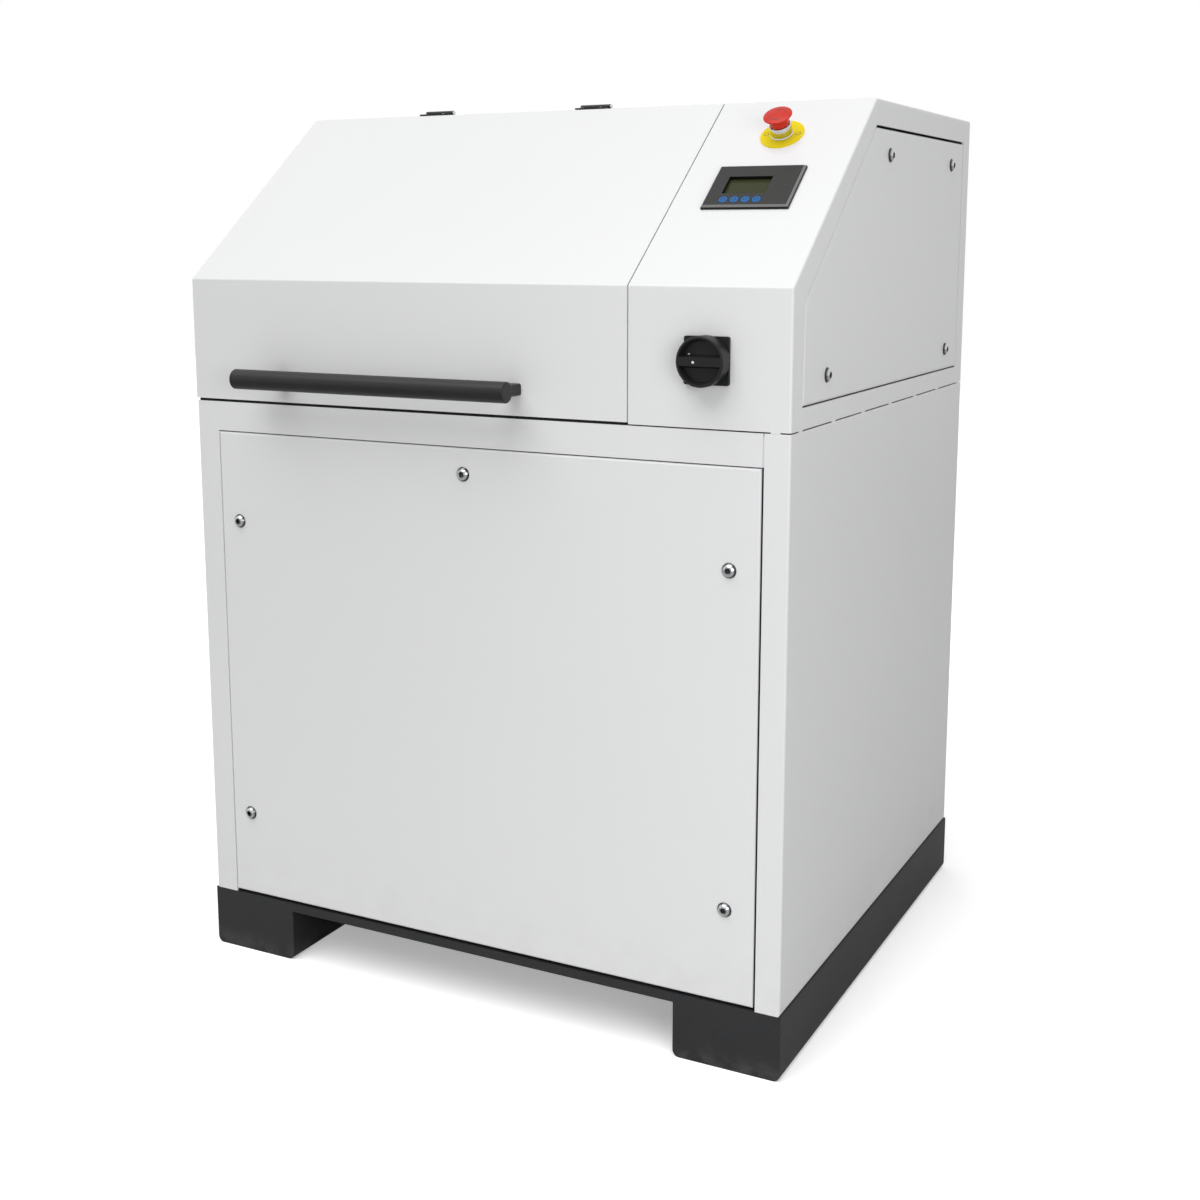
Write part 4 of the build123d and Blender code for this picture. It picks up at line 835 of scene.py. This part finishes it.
def sunken_screen():
    """The reflective back of an unlit display with its faint grid of dots."""
    screen = Surface("olive_screen", metallic=0.0, specular_ior_level=0.12)
    x, along = slope_axes(screen)[:2]
    pitch = 0.00095
    columns, rows = (
        ((place / pitch).math("FRACT") - 0.5).math("ABSOLUTE").ramp(0.36, 0.48)
        for place in (x, along)
    )
    grid = columns.math("MAXIMUM", rows) * 0.35
    clouds = screen.noise(0.03, 1.0)
    plain = blend_colours(clouds, (0.036, 0.039, 0.014, 1), (0.043, 0.047, 0.018, 1))
    screen.set(base_color=blend_colours(grid, plain, (0.062, 0.067, 0.036, 1)))
    screen.set(roughness=clouds * 0.04 + 0.20)
    return screen


display_x, display_s = 0.347, 0.1945
bezel_width, bezel_length, bezel_edge = 0.120, 0.087, 0.003


def framed_face():
    """Dark grey face, a groove and a glossy bevel round it with a painted highlight, a black foot,
    and painted shade on the walls of the sunken window.
    """
    frame_coat = Surface("display_frame", metallic=0.0, specular_ior_level=0.2)
    x, along, out = slope_axes(frame_coat)
    beside = (x - display_x).math("ABSOLUTE") - (bezel_width / 2 - bezel_edge)
    above = (along - display_s).math("ABSOLUTE") - (bezel_length / 2 - bezel_edge)
    past_face = beside.math("MAXIMUM", above)
    bevel = past_face.ramp(0.0, 0.0002)
    groove = past_face.ramp(-0.0008, -0.0005) * past_face.ramp(0.0001, -0.0001)
    rim = past_face.ramp(0.0023, 0.0027)
    foot = bevel * out.ramp(0.0036, 0.0033)
    # Painted shade: the walls of the sunken window are painted near black.
    sunken = (1.0 - bevel) * out.ramp(0.0058, 0.0055)
    clouds = frame_coat.noise(0.02, 2.0)
    face = blend_colours(clouds, (0.022, 0.022, 0.021, 1), (0.028, 0.028, 0.027, 1))
    # Painted highlight: the bevel is painted lighter than the face, standing in for its reflection.
    face_and_painted_highlight = blend_colours(bevel, face, (0.21, 0.21, 0.21, 1))
    dark = foot.math("MAXIMUM", sunken).math("MAXIMUM", groove).math("MAXIMUM", rim)
    frame_coat.set(base_color=blend_colours(dark, face_and_painted_highlight, (0.007, 0.007, 0.007, 1)))
    frame_coat.set(roughness=bevel * -0.12 + clouds * 0.06 + 0.40)
    frame_coat.emboss(frame_coat.noise(0.0005, 2.0), 0.00002)
    return frame_coat


key_pitch, first_key_x, key_s = 0.0152, 0.3151, 0.1645


def blue_keys():
    """Blue plastic with a sunken ring on every key."""
    blue = Surface("blue_keys", metallic=0.0, specular_ior_level=0.2)
    x, along = slope_axes(blue)[:2]
    up = along - key_s
    across = (((x - first_key_x) / key_pitch + 0.5).math("FRACT") - 0.5) * key_pitch
    radius = (across * across + up * up).math("SQRT")
    ring_radius = 0.0026
    ring = (radius - ring_radius).math("ABSOLUTE").ramp(0.0008, 0.0004)
    clouds = blue.noise(0.01, 2.0)
    plain = blend_colours(clouds, (0.014, 0.125, 0.36, 1), (0.018, 0.140, 0.41, 1))
    blue.set(base_color=blend_colours(ring, plain, (0.004, 0.040, 0.13, 1)))
    blue.set(roughness=clouds * 0.06 + 0.34)
    blue.emboss(1.0 - ring, 0.0002)
    return blue


blue_mould = blue_keys()
dress(framed_face(), "display_bezel")
dress(sunken_screen(), "display_screen")
dress(blue_mould, *(f"display_key_{number}" for number in (1, 2, 3, 4)))

# Emergency stop
# A yellow disc, a bright collar, a black stem and a glossy red mushroom head with two darker
# arrows on top that show which way it turns to spring out again.
red_mould = moulded_plastic(
    "red_mould", (0.60, 0.022, 0.010, 1), (0.66, 0.028, 0.013, 1),
    roughness=0.26, grain=0.002, depth=0.00001, shine=0.22,
)
dark_red = moulded_plastic(
    "dark_red", (0.30, 0.010, 0.008, 1), (0.34, 0.012, 0.010, 1), roughness=0.30,
)
yellow_mould = moulded_plastic(
    "yellow_mould", (0.86, 0.68, 0.007, 1), (0.89, 0.71, 0.010, 1),
    roughness=0.45, shine=0.12,
)
dark_print = moulded_plastic(
    "dark_print", (0.10, 0.07, 0.01, 1), (0.12, 0.09, 0.01, 1), roughness=0.5,
)
dress(yellow_mould, "estop_plate")
dress(chrome, "estop_collar")
dress(black_mould, "estop_stem")
dress(red_mould, "estop_button")

out_of_slope = Vector((0, -rise_sine, rise_cosine))
up_slope = Vector((0, rise_cosine, rise_sine))
estop_x, estop_s = 0.350, 0.311


def on_slope(x, along):
    """The matrix of a place on the slope: x to the right, y up the slope and z out of it."""
    centre = Vector((x, front, slope_foot)) + up_slope * along
    columns = (Vector((1, 0, 0)), up_slope, out_of_slope)
    return Matrix.Translation(centre) @ Matrix(columns).transposed().to_4x4()


def turning_arrow(start):
    """A curved arrow that lies on the domed head, from this angle on."""
    dome, top = 0.0961, 0.0335
    shaft_length, head_length = math.radians(75), math.radians(32)
    middle, half_shaft, half_head, relief = 0.0112, 0.0008, 0.0022, 0.0002
    shape = bmesh.new()
    rings = []
    samples = [(start + shaft_length * step / 12, half_shaft) for step in range(13)]
    samples += [
        (start + shaft_length + head_length * step / 6, half_head * (1 - step / 6) + 0.0001)
        for step in range(7)
    ]
    for angle, half in samples:
        inner, outer = middle - half, middle + half
        ring = []
        for radius, lift in ((inner, -relief), (outer, -relief), (outer, relief), (inner, relief)):
            height = top - dome + math.sqrt(dome**2 - radius**2) + lift
            spot = (radius * math.cos(angle), radius * math.sin(angle), height)
            ring.append(shape.verts.new(spot))
        rings.append(ring)
    skin(shape, rings)
    shape.faces.new(rings[0])
    shape.faces.new(rings[-1])
    bmesh.ops.recalc_face_normals(shape, faces=shape.faces)
    return shape


arrows = joined(turning_arrow(math.radians(20)), turning_arrow(math.radians(200)))
arrows.transform(on_slope(estop_x, estop_s))
piece("estop_arrows", arrows, dark_red, "estop_button", crease=0.4)


def printed_ring(x, along):
    """A thin printed ring on the yellow disc."""
    inner, outer, low, high = 0.0029, 0.0036, 0.0014, 0.0016
    outline = [(outer, low), (outer, high), (inner, high), (inner, low), (outer, low)]
    shape = turned(outline, on_slope(x, along), 28)
    bmesh.ops.remove_doubles(shape, verts=shape.verts, dist=0.00001)
    bmesh.ops.recalc_face_normals(shape, faces=shape.faces)
    return shape


ring_reach = 0.0225
marks = joined(*(printed_ring(estop_x + way * ring_reach, estop_s) for way in (-1, 1)))
piece("estop_marks", marks, dark_print, "cabinet")

# Main switch
# A square black plate on the front of the console and a round handle of black moulded plastic,
# with a grip bar across its sunken face and two white dots that mark its position.
dress(black_mould, "switch_plate", "switch_handle")
white_print = moulded_plastic(
    "white_print", (0.75, 0.75, 0.74, 1), (0.82, 0.82, 0.81, 1), roughness=0.5,
)
switch_x, switch_z = 0.350, 0.928


def painted_dot(x, y, z):
    """A small raised dot of paint."""
    radius, crown, foot, shoulder, top = 0.0017, 0.0013, -0.0002, 0.0001, 0.0003
    profile = [(0, foot), (radius, foot), (radius, shoulder), (crown, top), (0, top)]
    return turned(profile, facing(x, y, z, (0, -1, 0)), 20)


bar_reach, floor_reach = 0.027, 0.017
bar_dot = painted_dot(switch_x - 0.0082, front - bar_reach, switch_z - 0.0008)
floor_dot = painted_dot(switch_x - 0.0178, front - floor_reach, switch_z + 0.0078)
piece("switch_dots", joined(bar_dot, floor_dot), white_print, "main_switch")

# Control electronics and cable gland
# A motor drive with its cooling fins on a plate inside the console, and a black moulded gland in
# the rear panel.
drive_case = moulded_plastic(
    "drive_case", (0.055, 0.058, 0.062, 1), (0.075, 0.078, 0.082, 1), roughness=0.45,
)
dress(drive_case, "control_electronics")
dress(black_mould, "cable_gland")
